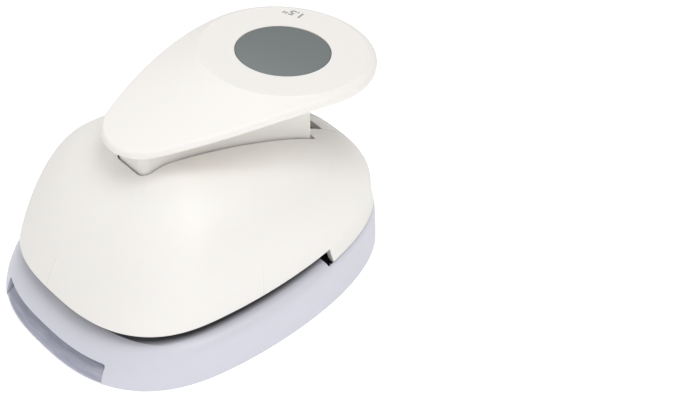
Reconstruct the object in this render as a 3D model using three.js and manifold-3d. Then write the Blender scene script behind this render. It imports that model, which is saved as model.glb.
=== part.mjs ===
// Circle craft punch: a domed lever punch with a paper throat, a round die set and a chip tray.
// Millimetres, +Z up. The front, where the paper goes in, faces -X and the thumb pad is at +X.
// The model is symmetric about the XZ plane. Sizes along X are measured from the widest place
// of the base, and the finished group is moved so that its origin is under its middle.
import * as THREE from "three";
import { mergeVertices } from "three/addons/utils/BufferGeometryUtils.js";
import Module from "manifold-3d";

// Running and seating clearances
const gap = 0.3;                // between pieces that are shaped to each other
const slideGap = 0.2;           // all round a piece that slides in a bore
const seat = 0.05;              // between flat faces that rest on each other
const overrun = 5;              // how far every cutting tool passes the surface that it cuts

// Base shell
const baseRear = 70;            // widest place to the rear edge
const baseFrontMargin = 5.75;   // how far it passes the housing's lip in front
const baseSideMargin = 4.4;     // and at the sides
const baseWall = 2.2;
const deckHeight = 12.6;        // top of the deck that the paper lies on
const deckMargin = 1.6;         // die plate to the rear end of the deck
const deckThickness = 4.6;      // down to the ceiling over the chip tray
const shelfThickness = 2;       // floor of the closed space behind the deck
const frontRoll = 13;           // how far the front wall rolls over before it meets the deck
const sideRoll = 3;             // the same at the sides
const sideLeanDepth = 1.2;      // how far the side walls lean in below the roll
const seamDrop = 0.6;           // from the deck down to the joint line of base and housing

// Upper housing
const housingFrontMargin = 9.85; // plates to the front lip
const housingSideMargin = 11.6; // guide posts to the lip at the widest place
const domeRise = 33.35;         // from the housing's lip to its top
const housingWall = 2.4;
const throatHeight = 3.25;      // from the deck up to the housing's lip
const throatMargin = 2.4;       // end of the deck to where the housing comes down to the base
const throatNotch = 3;          // depth of the notch in the base's wall there
const throatSkin = 0.6;         // what is left of the wall outside the notch
const seamFlare = 2.2;          // how much wider the housing is at the seam than at the lip

// Paper window in the front of the base and the tray that fills it
const windowHalfWidth = 24.4;
const windowDrop = 1.9;         // ceiling down to the window's top
const trayFloor = 1.5;
const trayWall = 1.2;
const trayLift = 0.4;           // the tray's underside above the table
const trayDrop = 1.6;           // ceiling down to the top of the tray's rim
const traySideGap = 0.4;
const trayScoop = 4.3;          // depth of the finger scoop in the front lip
const trayHingeX = 61.5;
const trayHingeDrop = 3;        // ceiling down to the hinge axis
const trayTail = 3.8;           // how far before the hinge axis the floor ends
const trayRear = 64;            // rear reach of its outline, short so that it swings clear of the base
const trayPinRadius = 1.5;
const trayKnuckleRadius = 2.1;
const trayKnuckleInner = 12;    // nearest place of the knuckle to the middle plane
const trayKnuckleWidth = 2.6;
const trayLugWidth = 3;
const trayLugRadius = 2.6;

// Die set
const cutRadius = 19.05;        // a 38.1 mm circle
const dieAxisX = 6;
const plateThickness = 2;
const paperGap = 1.6;           // between die plate and guide plate
const plateFrontMargin = 11.95; // cut circle to the front edge of both plates
const plateRearMargin = 8.45;   // cut circle to the rear edge of the die plate
const guideRearMargin = 6.5;    // how far the guide plate passes it
const dieSideMargin = 7.95;     // cut circle to the side of the die plate
const guideSideMargin = 4.5;    // guide posts to the side of the guide plate
const plateCorner = 8;
const chipHoleMargin = 2;       // the deck's hole beyond the die's hole
const spacerLength = 5;
const spacerHalfWidth = 18;
const rivetRadius = 1.6;
const rivetHeadRadius = 2.6;
const rivetHeadHeight = 0.8;
const rivetSpacing = 13;

// Punch and press block
const cutterWall = 2.4;
const cutterHeight = 6.9;
const cutterCrown = 2.2;        // thickness of the cutter's closed top
const cutterShear = 1.2;        // how much the edge rises and falls round the circle
const cutterRest = 0.3;         // edge above the guide plate's underside at rest
const blockDiscThickness = 1.9;
const blockDiscInset = 0.5;
const towerRadius = 6.5;
const beamHalfWidth = 4.6;
const beamThickness = 3;
const beamCorner = 4;
const beamDrop = 5.5;           // hinge pin down to the underside of the beam at rest
const beamWeb = 2;              // thickness of the webs under the beam
const postMargin = 6.95;        // cut circle to the posts' axes
const postRadius = 1.75;
const postRise = 3.2;           // how far the posts pass the top of the beam
const clipRadius = 3.3;
const clipThickness = 0.9;
const clipMouth = 2.1;          // width of the clip's open side
const cutterScrewCircle = 10.4; // radius that the three cutter screws stand on

// Return springs
const springRadius = 3;         // middle of the wire
const springWire = 0.8;
const springTurns = 6;
const springSteps = 8;
const springSides = 5;

// Lever: a round tilted pad, a cone falling away from it and a narrow nose
const padCentreX = 46.6;
const padRise = 13.7;           // pad centre above the top of the housing
const padTilt = 0.085;          // radians, down towards the rear
const padRadius = 24.3;
const leverRadius = 26.9;       // outline round the pad
const noseRadius = 13.9;
const noseReach = 58.7;         // pad centre to the tip of the nose
const sideRadius = 125;         // long arc down each side of the lever
const coneFallShare = 0.305;    // drop for each millimetre outside the pad
const leverWall = 1.6;
const leverEdgeRadius = 0.9;
const leverEdgeSteps = 3;       // faces across the rounded edge
const leverRim = 2.2;           // height of the outer rim below the top surface
const discRadius = 13.65;
const discThickness = 0.9;
const padRibThickness = 1.2;
const padRibHeight = 0.9;
const padRibSpacing = 8;
const padRibShares = [-2, -1, 0, 1, 2]; // places of the ribs under the pad, in spacings

// Lever body under the shell
const bodyFront = 7;            // widest place to the front face
const bodyRear = 47.9;
const bodyFrontHalfWidth = 7;
const bodyRearHalfWidth = 10.6;
const bodyCorner = 3;
const bodyWall = 2;
const bodySink = 2.6;           // how far its walls reach below the housing's surface
const slotGap = 0.5;
const slotRearGap = 1.5;        // room for the rear face as the lever swings
const slotTail = 6.4;            // length of the narrow slot behind it
const slotTailHalfWidth = 5.2;
const grooveDepth = 0.45;       // shallow groove that runs on to the rear
const pinX = -12;
const pinDrop = 14.2;           // top of the housing down to the pin's axis
const pinRadius = 2;
const eyeRadius = 4.2;
const eyeHalfWidth = 8.2;
const armThickness = 2.6;
const armEnd = 4.8;             // widest place of the base to the arms' rear edge
const armShares = [[0.2, -0.98], [3, -0.3], [-0.9, 0.44]]; // corners round the eye, in eye radii
const pusherRadius = 3;
const pusherHalfWidth = 4;
const wellRadius = 4.2;
const wellInnerRadius = 3;
const wellDepth = 7;
const wellFloor = 1.8;
const wellPlaceShares = [0.42, 0.83]; // along the body, from front to rear

// Pin bearings in the housing
const bearingInner = 10;        // nearest place to the middle plane
const bearingWidth = 6.5;
const bearingFront = 4;         // pin axis to the bearing's front face
const bearingRear = 8.5;        // pin axis to its rear face
const capHeight = 4;
const capScrewOffset = 5.2;     // pin axis to the cap's screw

// Screws, all of one thread size
const screwRadius = 1.25;
const screwHeadRadius = 2.4;
const screwHeadHeight = 1.4;
const screwHole = 1.6;
const bossRadius = 3.3;
const guideScrewFront = 23;     // die axis to the front pair
const guideScrewRear = 25;
const guideScrewInset = 2;      // how much nearer the middle plane they are than the posts
const sideScrewMargin = 6.5;    // throat's end to the pair of housing screws behind it
const sideScrewInset = 17;      // from the widest place of the base inwards
const rearScrewX = 60.5;         // pair at the rear
const rearScrewY = 7;
const screwLength = 8;

// Shapes of the outlines: how square each end of an outline is, along and across
const basePowers = { front: [2.66, 2.6], rear: [1.84, 2.74] };
const housingPowers = { front: [2.94, 2.6], rear: [1.84, 2.74] };
const aroundCount = 48;         // points round an outline
const leverCount = 48;          // points round the lever
const dieCount = 36;            // sides of the cut circle and all that fits it
const swingCount = 144;         // sides of the whole round that the lever's rear face is a short piece of
const cornerCount = 4;          // faces round a corner
const roundCount = 24;          // sides of a large round
const smallRoundCount = 8;      // sides of a small one

// Heights and places worked out from the sizes above
const postOffset = cutRadius + postMargin;
const plateFront = cutRadius + plateFrontMargin;
const plateRear = cutRadius + plateRearMargin;
const guideRear = plateRear + guideRearMargin;
const dieHalfWidth = cutRadius + dieSideMargin;
const plateHalfWidth = postOffset + guideSideMargin;
const beamHalfLength = plateHalfWidth;
const guideScrewSide = postOffset - guideScrewInset;
const housingFront = plateFront - dieAxisX + housingFrontMargin;
const housingHalfWidth = postOffset + housingSideMargin;
const baseFront = housingFront + baseFrontMargin;
const baseHalfWidth = housingHalfWidth + baseSideMargin;
const deckEnd = dieAxisX + plateRear + deckMargin;
const throatEnd = deckEnd + throatMargin;
const sideScrewX = throatEnd + sideScrewMargin;
const ceilingHeight = deckHeight - deckThickness;
const seamHeight = deckHeight - seamDrop;
const windowHeight = ceilingHeight - windowDrop;
const trayHeight = ceilingHeight - trayDrop;
const trayHingeHeight = ceilingHeight - trayHingeDrop;
const lipHeight = deckHeight + throatHeight;
const housingTop = lipHeight + domeRise;
const padCentreHeight = housingTop + padRise;
const pinHeight = housingTop - pinDrop;
const beamHeight = pinHeight - beamDrop;
const sideScrewY = baseHalfWidth - sideScrewInset;
const diePlateTop = deckHeight;
const guidePlateBottom = diePlateTop + paperGap;
const guidePlateTop = guidePlateBottom + plateThickness;
const cutterBottom = guidePlateBottom + cutterRest;
const cutterTop = cutterBottom + cutterHeight;
const blockBottom = cutterTop + seat;
const contactHeight = pinHeight;
const dieHoleRadius = cutRadius + slideGap;
const bodyLength = bodyFront + bodyRear;
const leverRear = padCentreX + leverRadius;

const wasm = await Module();
wasm.setup();

// Turns a closed three.js geometry into a solid that can be cut and joined
function solid(geometry) {
  const bare = geometry.index ? geometry.toNonIndexed() : geometry.clone();
  for (const name of Object.keys(bare.attributes)) if (name !== "position") bare.deleteAttribute(name);
  const merged = mergeVertices(bare);
  return new wasm.Manifold(new wasm.Mesh({
    numProp: 3,
    vertProperties: new Float32Array(merged.attributes.position.array),
    triVerts: new Uint32Array(merged.index.array),
  }));
}

// Turns a finished solid back into a geometry
function geometryOf(shape) {
  const mesh = shape.getMesh();
  const geometry = new THREE.BufferGeometry();
  geometry.setAttribute("position", new THREE.BufferAttribute(new Float32Array(mesh.vertProperties), 3));
  geometry.setIndex(new THREE.BufferAttribute(new Uint32Array(mesh.triVerts), 1));
  geometry.computeVertexNormals();
  return geometry;
}

const join = (shapes) => shapes.reduce((whole, shape) => whole.add(shape));
const cut = (shape, tools) => tools.reduce((rest, tool) => rest.subtract(tool), shape);
const mirrored = (make) => [1, -1].map(make);
const guideScrewPlaces = [-guideScrewFront, guideScrewRear].flatMap((x) => mirrored((side) =>
  [dieAxisX + x, side * guideScrewSide]));
const housingScrewPlaces = [[sideScrewX, sideScrewY], [rearScrewX, rearScrewY]].flatMap(([x, y]) =>
  mirrored((side) => [x, side * y]));

// A box from its lowest to its highest corner
function block(low, high) {
  const size = high.map((value, axis) => value - low[axis]);
  const geometry = new THREE.BoxGeometry(...size);
  geometry.translate(...low.map((value, axis) => value + size[axis] / 2));
  return solid(geometry);
}

// An upright round bar or, with two radii, a cone
function upright(x, y, low, high, radius, count = smallRoundCount, topRadius = radius) {
  const geometry = new THREE.CylinderGeometry(topRadius, radius, high - low, count);
  geometry.rotateX(Math.PI / 2);
  geometry.translate(x, y, (low + high) / 2);
  return solid(geometry);
}

// A round bar that lies along Y
function crossBar(x, z, from, to, radius, count = smallRoundCount) {
  const geometry = new THREE.CylinderGeometry(radius, radius, Math.abs(to - from), count);
  geometry.translate(x, (from + to) / 2, z);
  return solid(geometry);
}

// A flat outline in X and Y, raised from one height to another
function raised(points, low, high) {
  const shape = new THREE.Shape(points.map(([x, y]) => new THREE.Vector2(x, y)));
  const geometry = new THREE.ExtrudeGeometry(shape, { depth: high - low, bevelEnabled: false });
  geometry.translate(0, 0, low);
  return solid(geometry);
}

// A flat outline in X and Z, drawn out along Y
function drawnAcross(points, from, to) {
  const shape = new THREE.Shape(points.map(([x, z]) => new THREE.Vector2(x, z)));
  const geometry = new THREE.ExtrudeGeometry(shape, { depth: to - from, bevelEnabled: false });
  geometry.rotateX(Math.PI / 2);
  geometry.translate(0, to, 0);
  return solid(geometry);
}

// Skins a stack of rings, all with as many points, and closes both ends with a fan
function skin(rings) {
  const count = rings[0].length;
  const last = (rings.length - 1) * count;
  const vertices = rings.flat();
  const middle = (ring) => ring[0].map((_, axis) => ring.reduce((sum, point) => sum + point[axis], 0) / count);
  const lowEnd = vertices.push(middle(rings[0])) - 1;
  const highEnd = vertices.push(middle(rings[rings.length - 1])) - 1;
  const faces = [];
  for (let point = 0; point < count; point += 1) {
    const next = (point + 1) % count;
    faces.push(lowEnd, next, point, highEnd, last + point, last + next);
    for (let level = 0; level < last; level += count) {
      faces.push(level + point, level + next, level + count + next);
      faces.push(level + point, level + count + next, level + count + point);
    }
  }
  const geometry = new THREE.BufferGeometry();
  geometry.setAttribute("position", new THREE.BufferAttribute(new Float32Array(vertices.flat()), 3));
  geometry.setIndex(faces);
  return solid(geometry);
}

// An egg-shaped outline: each end is a quarter curve with its own reach and squareness
function egg(front, halfWidth, rear, powers, height) {
  const ring = [];
  for (let step = 0; step < aroundCount; step += 1) {
    const angle = (2 * Math.PI * step) / aroundCount;
    const along = Math.cos(angle);
    const across = Math.sin(angle);
    const [power, sidePower] = along < 0 ? powers.front : powers.rear;
    const reach = along < 0 ? front : rear;
    ring.push([
      Math.sign(along) * reach * Math.abs(along) ** (2 / power),
      Math.sign(across) * halfWidth * Math.abs(across) ** (2 / sidePower),
      height,
    ]);
  }
  return ring;
}

// A rectangle with round corners
function roundedPlate(front, rear, halfWidth, corner, low, high) {
  const points = [];
  for (const [quarter, [along, across]] of [[1, 1], [-1, 1], [-1, -1], [1, -1]].entries()) {
    const x = (along > 0 ? rear : front) - along * corner;
    const y = across * (halfWidth - corner);
    for (let step = 0; step <= cornerCount; step += 1) {
      const angle = (Math.PI / 2) * (quarter + step / cornerCount);
      points.push([x + corner * Math.cos(angle), y + corner * Math.sin(angle)]);
    }
  }
  return raised(points, low, high);
}

// A screw that points up, with its head at the bottom
function screwUp(x, y, headBottom, length = screwLength) {
  return join([
    upright(x, y, headBottom, headBottom + screwHeadHeight, screwHeadRadius),
    upright(x, y, headBottom + screwHeadHeight / 2, headBottom + screwHeadHeight + length, screwRadius),
  ]);
}

// Base

// How far the wall has rolled inwards at a height, as a share of the whole roll
const frontRollPower = 1.6;
const sideRollPower = 12;
const rollShare = (height, power) => 1 - Math.sqrt(Math.max(0, 1 - (height / deckHeight) ** power));
const baseLevelShares = [0, 0.25, 0.5, 0.68, 0.82, 0.92, 0.975, 1];

function baseRing(height, inset) {
  const level = Math.min(Math.max(height, 0), deckHeight);
  return egg(
    baseFront - frontRoll * rollShare(level, frontRollPower) - inset,
    baseHalfWidth - sideLeanDepth * (level / seamHeight) ** 2 - sideRoll * rollShare(level, sideRollPower) - inset,
    baseRear - inset,
    basePowers,
    height,
  );
}

function baseForm(inset, low, high) {
  const levels = baseLevelShares.map((share) => share * deckHeight).filter((z) => z > low && z < high);
  return skin([low, ...levels, high].map((z) => baseRing(z, inset)));
}

const plateOutline = (growth, rear, halfWidth, low, high) => roundedPlate(
  dieAxisX - plateFront - growth, dieAxisX + rear + growth, halfWidth + growth, plateCorner, low, high);

const rivetPlaces = [-1, 0, 1].map((step) => [dieAxisX + plateRear - spacerLength / 2, step * rivetSpacing]);
const dieScrewPlaces = [-1, 1].flatMap((end) => mirrored((side) => [
  dieAxisX + (end < 0 ? -(plateFront - plateCorner) : plateRear - plateCorner / 2),
  side * (dieHalfWidth - plateCorner / 2),
]));

function makeBaseShell() {
  const behind = baseRear + overrun;
  const wide = baseHalfWidth + overrun;
  const seamTop = seamHeight - gap / 2;
  const pocketFloor = diePlateTop - plateThickness - seat;
  const shell = cut(baseForm(0, 0, deckHeight), [
    baseForm(baseWall, -overrun, ceilingHeight),
    block([deckEnd, -wide, seamTop], [behind, wide, deckHeight + overrun]),
    baseForm(baseWall, ceilingHeight + shelfThickness, deckHeight + overrun)
      .intersect(block([deckEnd, -wide, 0], [behind, wide, deckHeight + overrun])),
    baseForm(throatSkin, seamTop - throatNotch, deckHeight)
      .intersect(block([deckEnd, -wide, 0], [throatEnd, wide, deckHeight])),
    plateOutline(gap, plateRear, dieHalfWidth, pocketFloor, deckHeight + overrun),
    upright(dieAxisX, 0, 0, deckHeight, cutRadius + chipHoleMargin, roundCount),
    block([-baseFront - overrun, -windowHalfWidth, -overrun], [-baseFront / 2, windowHalfWidth, windowHeight]),
  ]);
  const bosses = housingScrewPlaces.map(([x, y]) => upright(x, y, ceilingHeight, seamTop, bossRadius));
  const lugs = mirrored((side) => {
    const near = side * (trayKnuckleInner + trayKnuckleWidth + gap);
    const far = near + side * trayLugWidth;
    const ends = [Math.min(near, far), Math.max(near, far)];
    return join([
      crossBar(trayHingeX, trayHingeHeight, near, far, trayLugRadius),
      block([trayHingeX - trayLugRadius, ends[0], trayHingeHeight],
        [trayHingeX + trayLugRadius, ends[1], ceilingHeight + seat]),
    ]);
  });
  const holes = housingScrewPlaces.map(([x, y]) => upright(x, y, 0, deckHeight + overrun, screwHole));
  const dieHoles = dieScrewPlaces.map(([x, y]) => upright(x, y, 0, deckHeight, screwHole));
  const rivetRelief = rivetPlaces.map(([x, y]) => upright(x, y, 0, deckHeight, rivetHeadRadius + gap));
  const pinHoleReach = trayKnuckleInner + trayKnuckleWidth + trayLugWidth + 2 * gap;
  const pinHoles = crossBar(trayHingeX, trayHingeHeight, -pinHoleReach, pinHoleReach, trayPinRadius + gap);
  return cut(join([shell, ...bosses, ...lugs]), [...holes, ...dieHoles, ...rivetRelief, pinHoles]);
}

// Chip tray: a shallow cup with a scooped lip that fills the window in the base

const scoopShares = [[0, 0.06], [0.12, 0.1], [0.3, 0.32], [0.5, 0.6], [0.75, 0.85], [1, 1]];

function makeChipTray() {
  const outer = baseWall + traySideGap;
  const trayRing = (z, inset) => egg(
    baseFront - frontRoll * rollShare(trayHeight, frontRollPower) - inset,
    baseHalfWidth - sideLeanDepth * (trayHeight / seamHeight) ** 2 - inset,
    trayRear - inset,
    basePowers,
    z,
  );
  const floorTop = trayLift + trayFloor;
  const tail = trayHingeX - trayTail;
  const lipRise = windowHeight - traySideGap - trayLift;
  const cup = skin([trayRing(trayLift, outer), trayRing(trayHeight, outer)]);
  const hollow = skin([trayRing(floorTop, outer + trayWall), trayRing(trayHeight + overrun, outer + trayWall)]);
  const lipSide = windowHalfWidth - traySideGap;
  const lip = skin(scoopShares.map(([heightShare, depthShare]) => {
    const z = trayLift + heightShare * lipRise;
    return baseRing(0, depthShare * trayScoop).map(([x, y]) => [x, y, z]);
  })).intersect(block([-baseFront, -lipSide, 0], [-baseFront / 2, lipSide, trayHeight]));
  const wide = baseHalfWidth + overrun;
  const tailCut = block([tail, -wide, -overrun], [baseRear + overrun, wide, deckHeight]);
  const rearWall = block([tail - trayWall, -wide, trayLift], [tail, wide, trayHeight]).intersect(cup);
  const knuckles = mirrored((side) => {
    const near = side * trayKnuckleInner;
    const far = near + side * trayKnuckleWidth;
    const ends = [Math.min(near, far), Math.max(near, far)];
    return join([
      drawnAcross([
        [tail - trayWall / 2, floorTop - trayFloor / 2],
        [tail, floorTop - trayFloor / 2],
        [trayHingeX, trayHingeHeight - trayKnuckleRadius],
        [trayHingeX, trayHingeHeight + trayKnuckleRadius / 2],
        [tail - trayWall / 2, trayHeight],
      ], ...ends),
      crossBar(trayHingeX, trayHingeHeight, near, far, trayKnuckleRadius),
      crossBar(trayHingeX, trayHingeHeight, near, far + side * (trayLugWidth + gap), trayPinRadius),
    ]);
  });
  return join([cut(join([cup, lip]), [hollow, tailCut]), rearWall, ...knuckles]);
}

// Upper housing

// How the housing closes towards its top: a share of each reach at a share of the height
const closePowers = { front: [1.14, 1.73], side: [2.69, 3.55], rear: [2.3, 1.35] };
const seamFlarePower = 1.5;
const closeShare = (rise, [power, root]) => Math.max(0, 1 - rise ** power) ** (1 / root);
const domeLevelShares = [0, 0.12, 0.25, 0.38, 0.5, 0.61, 0.71, 0.8, 0.87, 0.925, 0.965, 0.99];
const hollowLevelShares = [0, 0.25, 0.5, 0.71, 0.87, 0.965, 0.99];

// One ring of the dome at a height, drawn in by a wall
function domeRing(height, inset) {
  const rise = Math.max(0, (height - lipHeight) / (housingTop - inset - lipHeight));
  const below = Math.max(0, (lipHeight - height) / (lipHeight - seamHeight));
  const flare = seamFlare * below ** seamFlarePower;
  return egg(
    (housingFront - inset) * closeShare(rise, closePowers.front) + flare,
    (housingHalfWidth - inset) * closeShare(rise, closePowers.side) + flare,
    (baseRear - inset) * closeShare(rise, closePowers.rear),
    housingPowers,
    height,
  );
}

function dome(inset, low) {
  const top = housingTop - inset;
  const shares = inset === 0 ? domeLevelShares : hollowLevelShares;
  const levels = shares.map((share) => lipHeight + share * (top - lipHeight));
  const lower = [0, 1 / 2].map((share) => low + share * (lipHeight - low));
  return skin([...lower, ...levels].map((z) => domeRing(z, inset)));
}

// Plan of the lever body: narrow and round-cornered in front, wider and square behind
function bodyPlan(growth, rear) {
  const halfAt = (x) => growth + bodyFrontHalfWidth
    + ((bodyRearHalfWidth - bodyFrontHalfWidth) * (x + bodyFront)) / bodyLength;
  const corner = bodyCorner + growth;
  const cornerX = -bodyFront + bodyCorner;
  const front = Array.from({ length: cornerCount + 1 }, (_, step) => {
    const angle = Math.PI - (Math.PI / 2) * (step / cornerCount);
    return [cornerX + corner * Math.cos(angle), halfAt(cornerX) - corner + corner * Math.sin(angle)];
  });
  const side = [...front, [rear, halfAt(rear)]];
  return [...side.map(([x, y]) => [x, -y]), ...side.reverse()];
}

function makeUpperHousing() {
  const low = seamHeight + gap / 2;
  const high = housingTop + overrun;
  const wide = baseHalfWidth + overrun;
  const outside = dome(0, low);
  const slotRear = bodyRear + slotRearGap;
  const hollow = dome(housingWall, low - overrun);
  const throat = block([-baseFront, -wide, 0], [throatEnd, wide, lipHeight]);
  const guideBosses = guideScrewPlaces.map(([x, y]) =>
    upright(x, y, guidePlateTop + seat, high, bossRadius));
  const rearBosses = housingScrewPlaces.map(([x, y]) => upright(x, y, low, high, bossRadius));
  const bearings = mirrored((side) => {
    const near = side * bearingInner;
    const far = near + side * bearingWidth;
    return block([pinX - bearingFront, Math.min(near, far), pinHeight],
      [pinX + bearingRear, Math.max(near, far), high]);
  });
  const inside = join([...guideBosses, ...rearBosses, ...bearings]).intersect(dome(housingWall / 2, low));
  const slotLow = pinHeight - overrun;
  const slot = join([
    raised(bodyPlan(slotGap, slotRear), slotLow, high),
    block([bodyRear, -slotTailHalfWidth, 0], [slotRear + slotTail, slotTailHalfWidth, high]),
  ]);
  const groove = cut(
    block([slotRear, -slotTailHalfWidth, seamHeight], [baseRear - overrun, slotTailHalfWidth, high]),
    [dome(grooveDepth, low)],
  );
  const tapped = [
    ...guideScrewPlaces.map(([x, y]) => upright(x, y, 0, guidePlateTop + screwLength, screwHole)),
    ...housingScrewPlaces.map(([x, y]) =>
      upright(x, y, 0, ceilingHeight + screwLength + seamHeight / 2, screwHole)),
    ...mirrored((side) => upright(pinX + capScrewOffset, side * (bearingInner + bearingWidth / 2),
      0, pinHeight + screwLength / 2, screwHole)),
  ];
  const pinSeat = crossBar(pinX, pinHeight, -bearingInner - bearingWidth - gap,
    bearingInner + bearingWidth + gap, pinRadius + gap);
  const eyeRoom = crossBar(pinX, pinHeight, -bearingInner, bearingInner, eyeRadius + gap)
    .subtract(cut(block([-baseFront, -wide, 0], [baseRear, wide, high]), [dome(housingWall / 2, low)]));
  return cut(join([cut(outside, [hollow]), inside]), [throat, slot, groove, ...tapped, pinSeat, eyeRoom]);
}

// Die set

function makeDiePlate() {
  const low = diePlateTop - plateThickness;
  return cut(plateOutline(0, plateRear, dieHalfWidth, low, diePlateTop), [
    upright(dieAxisX, 0, 0, deckHeight + overrun, dieHoleRadius, dieCount),
    ...dieScrewPlaces.map(([x, y]) => upright(x, y, 0, diePlateTop - gap, screwHole)),
    ...rivetPlaces.map(([x, y]) => upright(x, y, 0, deckHeight + overrun, rivetRadius + slideGap)),
  ]);
}

function makeGuidePlate() {
  const high = guidePlateTop + overrun;
  return cut(plateOutline(0, guideRear, plateHalfWidth, guidePlateBottom, guidePlateTop), [
    upright(dieAxisX, 0, 0, high, dieHoleRadius, dieCount),
    ...guideScrewPlaces.map(([x, y]) => upright(x, y, guidePlateBottom - gap, guidePlateTop + gap,
      screwHeadRadius + 2 * gap, smallRoundCount, screwRadius + gap)),
    ...mirrored((side) => upright(dieAxisX, side * postOffset, 0, high, postRadius + slideGap)),
    ...rivetPlaces.map(([x, y]) => upright(x, y, 0, high, rivetRadius + slideGap)),
  ]);
}

function makeSpacer() {
  const rear = dieAxisX + plateRear;
  return cut(
    roundedPlate(rear - spacerLength, rear, spacerHalfWidth, spacerLength / 3, diePlateTop + seat,
      guidePlateBottom - seat),
    rivetPlaces.map(([x, y]) => upright(x, y, 0, guidePlateTop, rivetRadius + slideGap)),
  );
}

function makeRivets() {
  const low = diePlateTop - plateThickness - seat;
  const high = guidePlateTop + seat;
  return rivetPlaces.map(([x, y]) => join([
    upright(x, y, low - rivetHeadHeight, low, rivetHeadRadius),
    upright(x, y, low - rivetHeadHeight / 2, high + rivetHeadHeight / 2, rivetRadius),
    upright(x, y, high, high + rivetHeadHeight, rivetHeadRadius),
  ]));
}

// Punch

function makeCutter() {
  const inner = cutRadius - cutterWall;
  const edge = (radius, lift) => {
    const ring = [];
    for (let step = 0; step < dieCount; step += 1) {
      const angle = (2 * Math.PI * step) / dieCount;
      ring.push([dieAxisX + radius * Math.cos(angle), radius * Math.sin(angle),
        cutterBottom + lift + (cutterShear * (1 - Math.cos(2 * angle))) / 2]);
    }
    return ring;
  };
  const flat = (radius, z) => edge(radius, 0).map(([x, y]) => [x, y, z]);
  return cut(skin([edge(cutRadius, 0), flat(cutRadius, cutterTop)]), [
    skin([flat(inner, -overrun), flat(inner, cutterTop - cutterCrown)]),
    ...cutterScrewPlaces.map(([x, y]) => upright(x, y, 0, cutterTop + overrun, screwHole)),
  ]);
}

const cutterScrewPlaces = [0, 1, 2].map((step) => {
  const angle = (2 * Math.PI * step) / 3;
  return [dieAxisX + cutterScrewCircle * Math.cos(angle), cutterScrewCircle * Math.sin(angle)];
});

function makePressBlock() {
  const discTop = blockBottom + blockDiscThickness;
  const beamTop = beamHeight + beamThickness;
  const radius = cutRadius - blockDiscInset;
  const web = (side) => drawnAcross([
    [dieAxisX - beamHalfWidth, discTop - blockDiscThickness / 2],
    [dieAxisX + beamHalfWidth, discTop - blockDiscThickness / 2],
    [dieAxisX + beamHalfWidth, beamHeight + beamThickness / 2],
    [dieAxisX - beamHalfWidth, beamHeight + beamThickness / 2],
  ], side > 0 ? radius - beamWeb * 2 : beamWeb - radius, side > 0 ? radius - beamWeb : 2 * beamWeb - radius);
  return cut(join([
    upright(dieAxisX, 0, blockBottom, discTop, radius, dieCount),
    upright(dieAxisX, 0, discTop - blockDiscThickness / 2, contactHeight - gap, towerRadius, roundCount),
    roundedPlate(dieAxisX - beamHalfWidth, dieAxisX + beamHalfWidth, beamHalfLength, beamCorner,
      beamHeight, beamTop),
    block([dieAxisX - beamWeb / 2, beamWeb - radius, discTop - blockDiscThickness / 2],
      [dieAxisX + beamWeb / 2, radius - beamWeb, beamHeight + beamThickness / 2]),
    ...mirrored(web),
  ]), [
    ...mirrored((side) => upright(dieAxisX, side * postOffset, 0, housingTop, postRadius + slideGap)),
    ...cutterScrewPlaces.map(([x, y]) => upright(x, y, 0, discTop + overrun, screwHole)),
  ]);
}

// Springs and posts

function makeSpring(side) {
  const low = guidePlateTop + seat + springWire / 2;
  const high = beamHeight - seat - springWire / 2;
  const centre = side * postOffset;
  const steps = springTurns * springSteps;
  const rings = [];
  for (let step = 0; step <= steps; step += 1) {
    const angle = (2 * Math.PI * step) / springSteps;
    const climb = low + ((high - low) * step) / steps;
    const ring = [];
    for (let corner = 0; corner < springSides; corner += 1) {
      const turn = (-2 * Math.PI * corner) / springSides;
      const radius = springRadius + (springWire / 2) * Math.cos(turn);
      ring.push([dieAxisX + radius * Math.cos(angle), centre + radius * Math.sin(angle),
        climb + (springWire / 2) * Math.sin(turn)]);
    }
    rings.push(ring);
  }
  return skin(rings);
}

const springPitch = (beamHeight - guidePlateTop - 2 * seat - springWire) / springTurns;
console.log(`least gap between spring turns ${(springPitch - springWire).toFixed(2)} mm`);

const makePost = (side) => upright(dieAxisX, side * postOffset, guidePlateBottom + gap,
  beamHeight + beamThickness + postRise, postRadius);

function makePostClip(side) {
  const y = side * postOffset;
  const low = beamHeight + beamThickness + seat;
  return cut(upright(dieAxisX, y, low, low + clipThickness, clipRadius), [
    upright(dieAxisX, y, 0, housingTop, postRadius + seat),
    block([dieAxisX, y - clipMouth / 2, 0], [dieAxisX + clipRadius * 2, y + clipMouth / 2, housingTop]),
  ]);
}

// Lever shell

const padMatrix = new THREE.Matrix4().makeRotationY(padTilt)
  .setPosition(padCentreX, 0, padCentreHeight);
const fromPad = (along, across, rise) => new THREE.Vector3(along, across, rise).applyMatrix4(padMatrix).toArray();

// Middle of the long arc down one side, which touches the round of the pad and that of the nose
const noseX = noseRadius - noseReach;
const sideToPad = sideRadius - leverRadius;
const sideToNose = sideRadius - noseRadius;
const sideX = (sideToPad ** 2 - sideToNose ** 2 + noseX ** 2) / (2 * noseX);
const sideY = -Math.sqrt(sideToPad ** 2 - sideX ** 2);

// Distance from the pad's centre to the lever's outline in a direction
function leverReach(angle) {
  const direction = [Math.cos(angle), Math.abs(Math.sin(angle))];
  const before = (place) => direction[0] * place[1] - direction[1] * place[0] > 0;
  const toRound = (x, y, radius) => {
    const middle = direction[0] * x + direction[1] * y;
    return middle + Math.sqrt(middle ** 2 - x ** 2 - y ** 2 + radius ** 2);
  };
  const narrow = noseRadius / sideToNose;
  if (before([-sideX, -sideY])) return leverRadius;
  if (before([noseX + (noseX - sideX) * narrow, -sideY * narrow])) return toRound(sideX, sideY, sideRadius);
  return toRound(noseX, 0, noseRadius);
}

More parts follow.
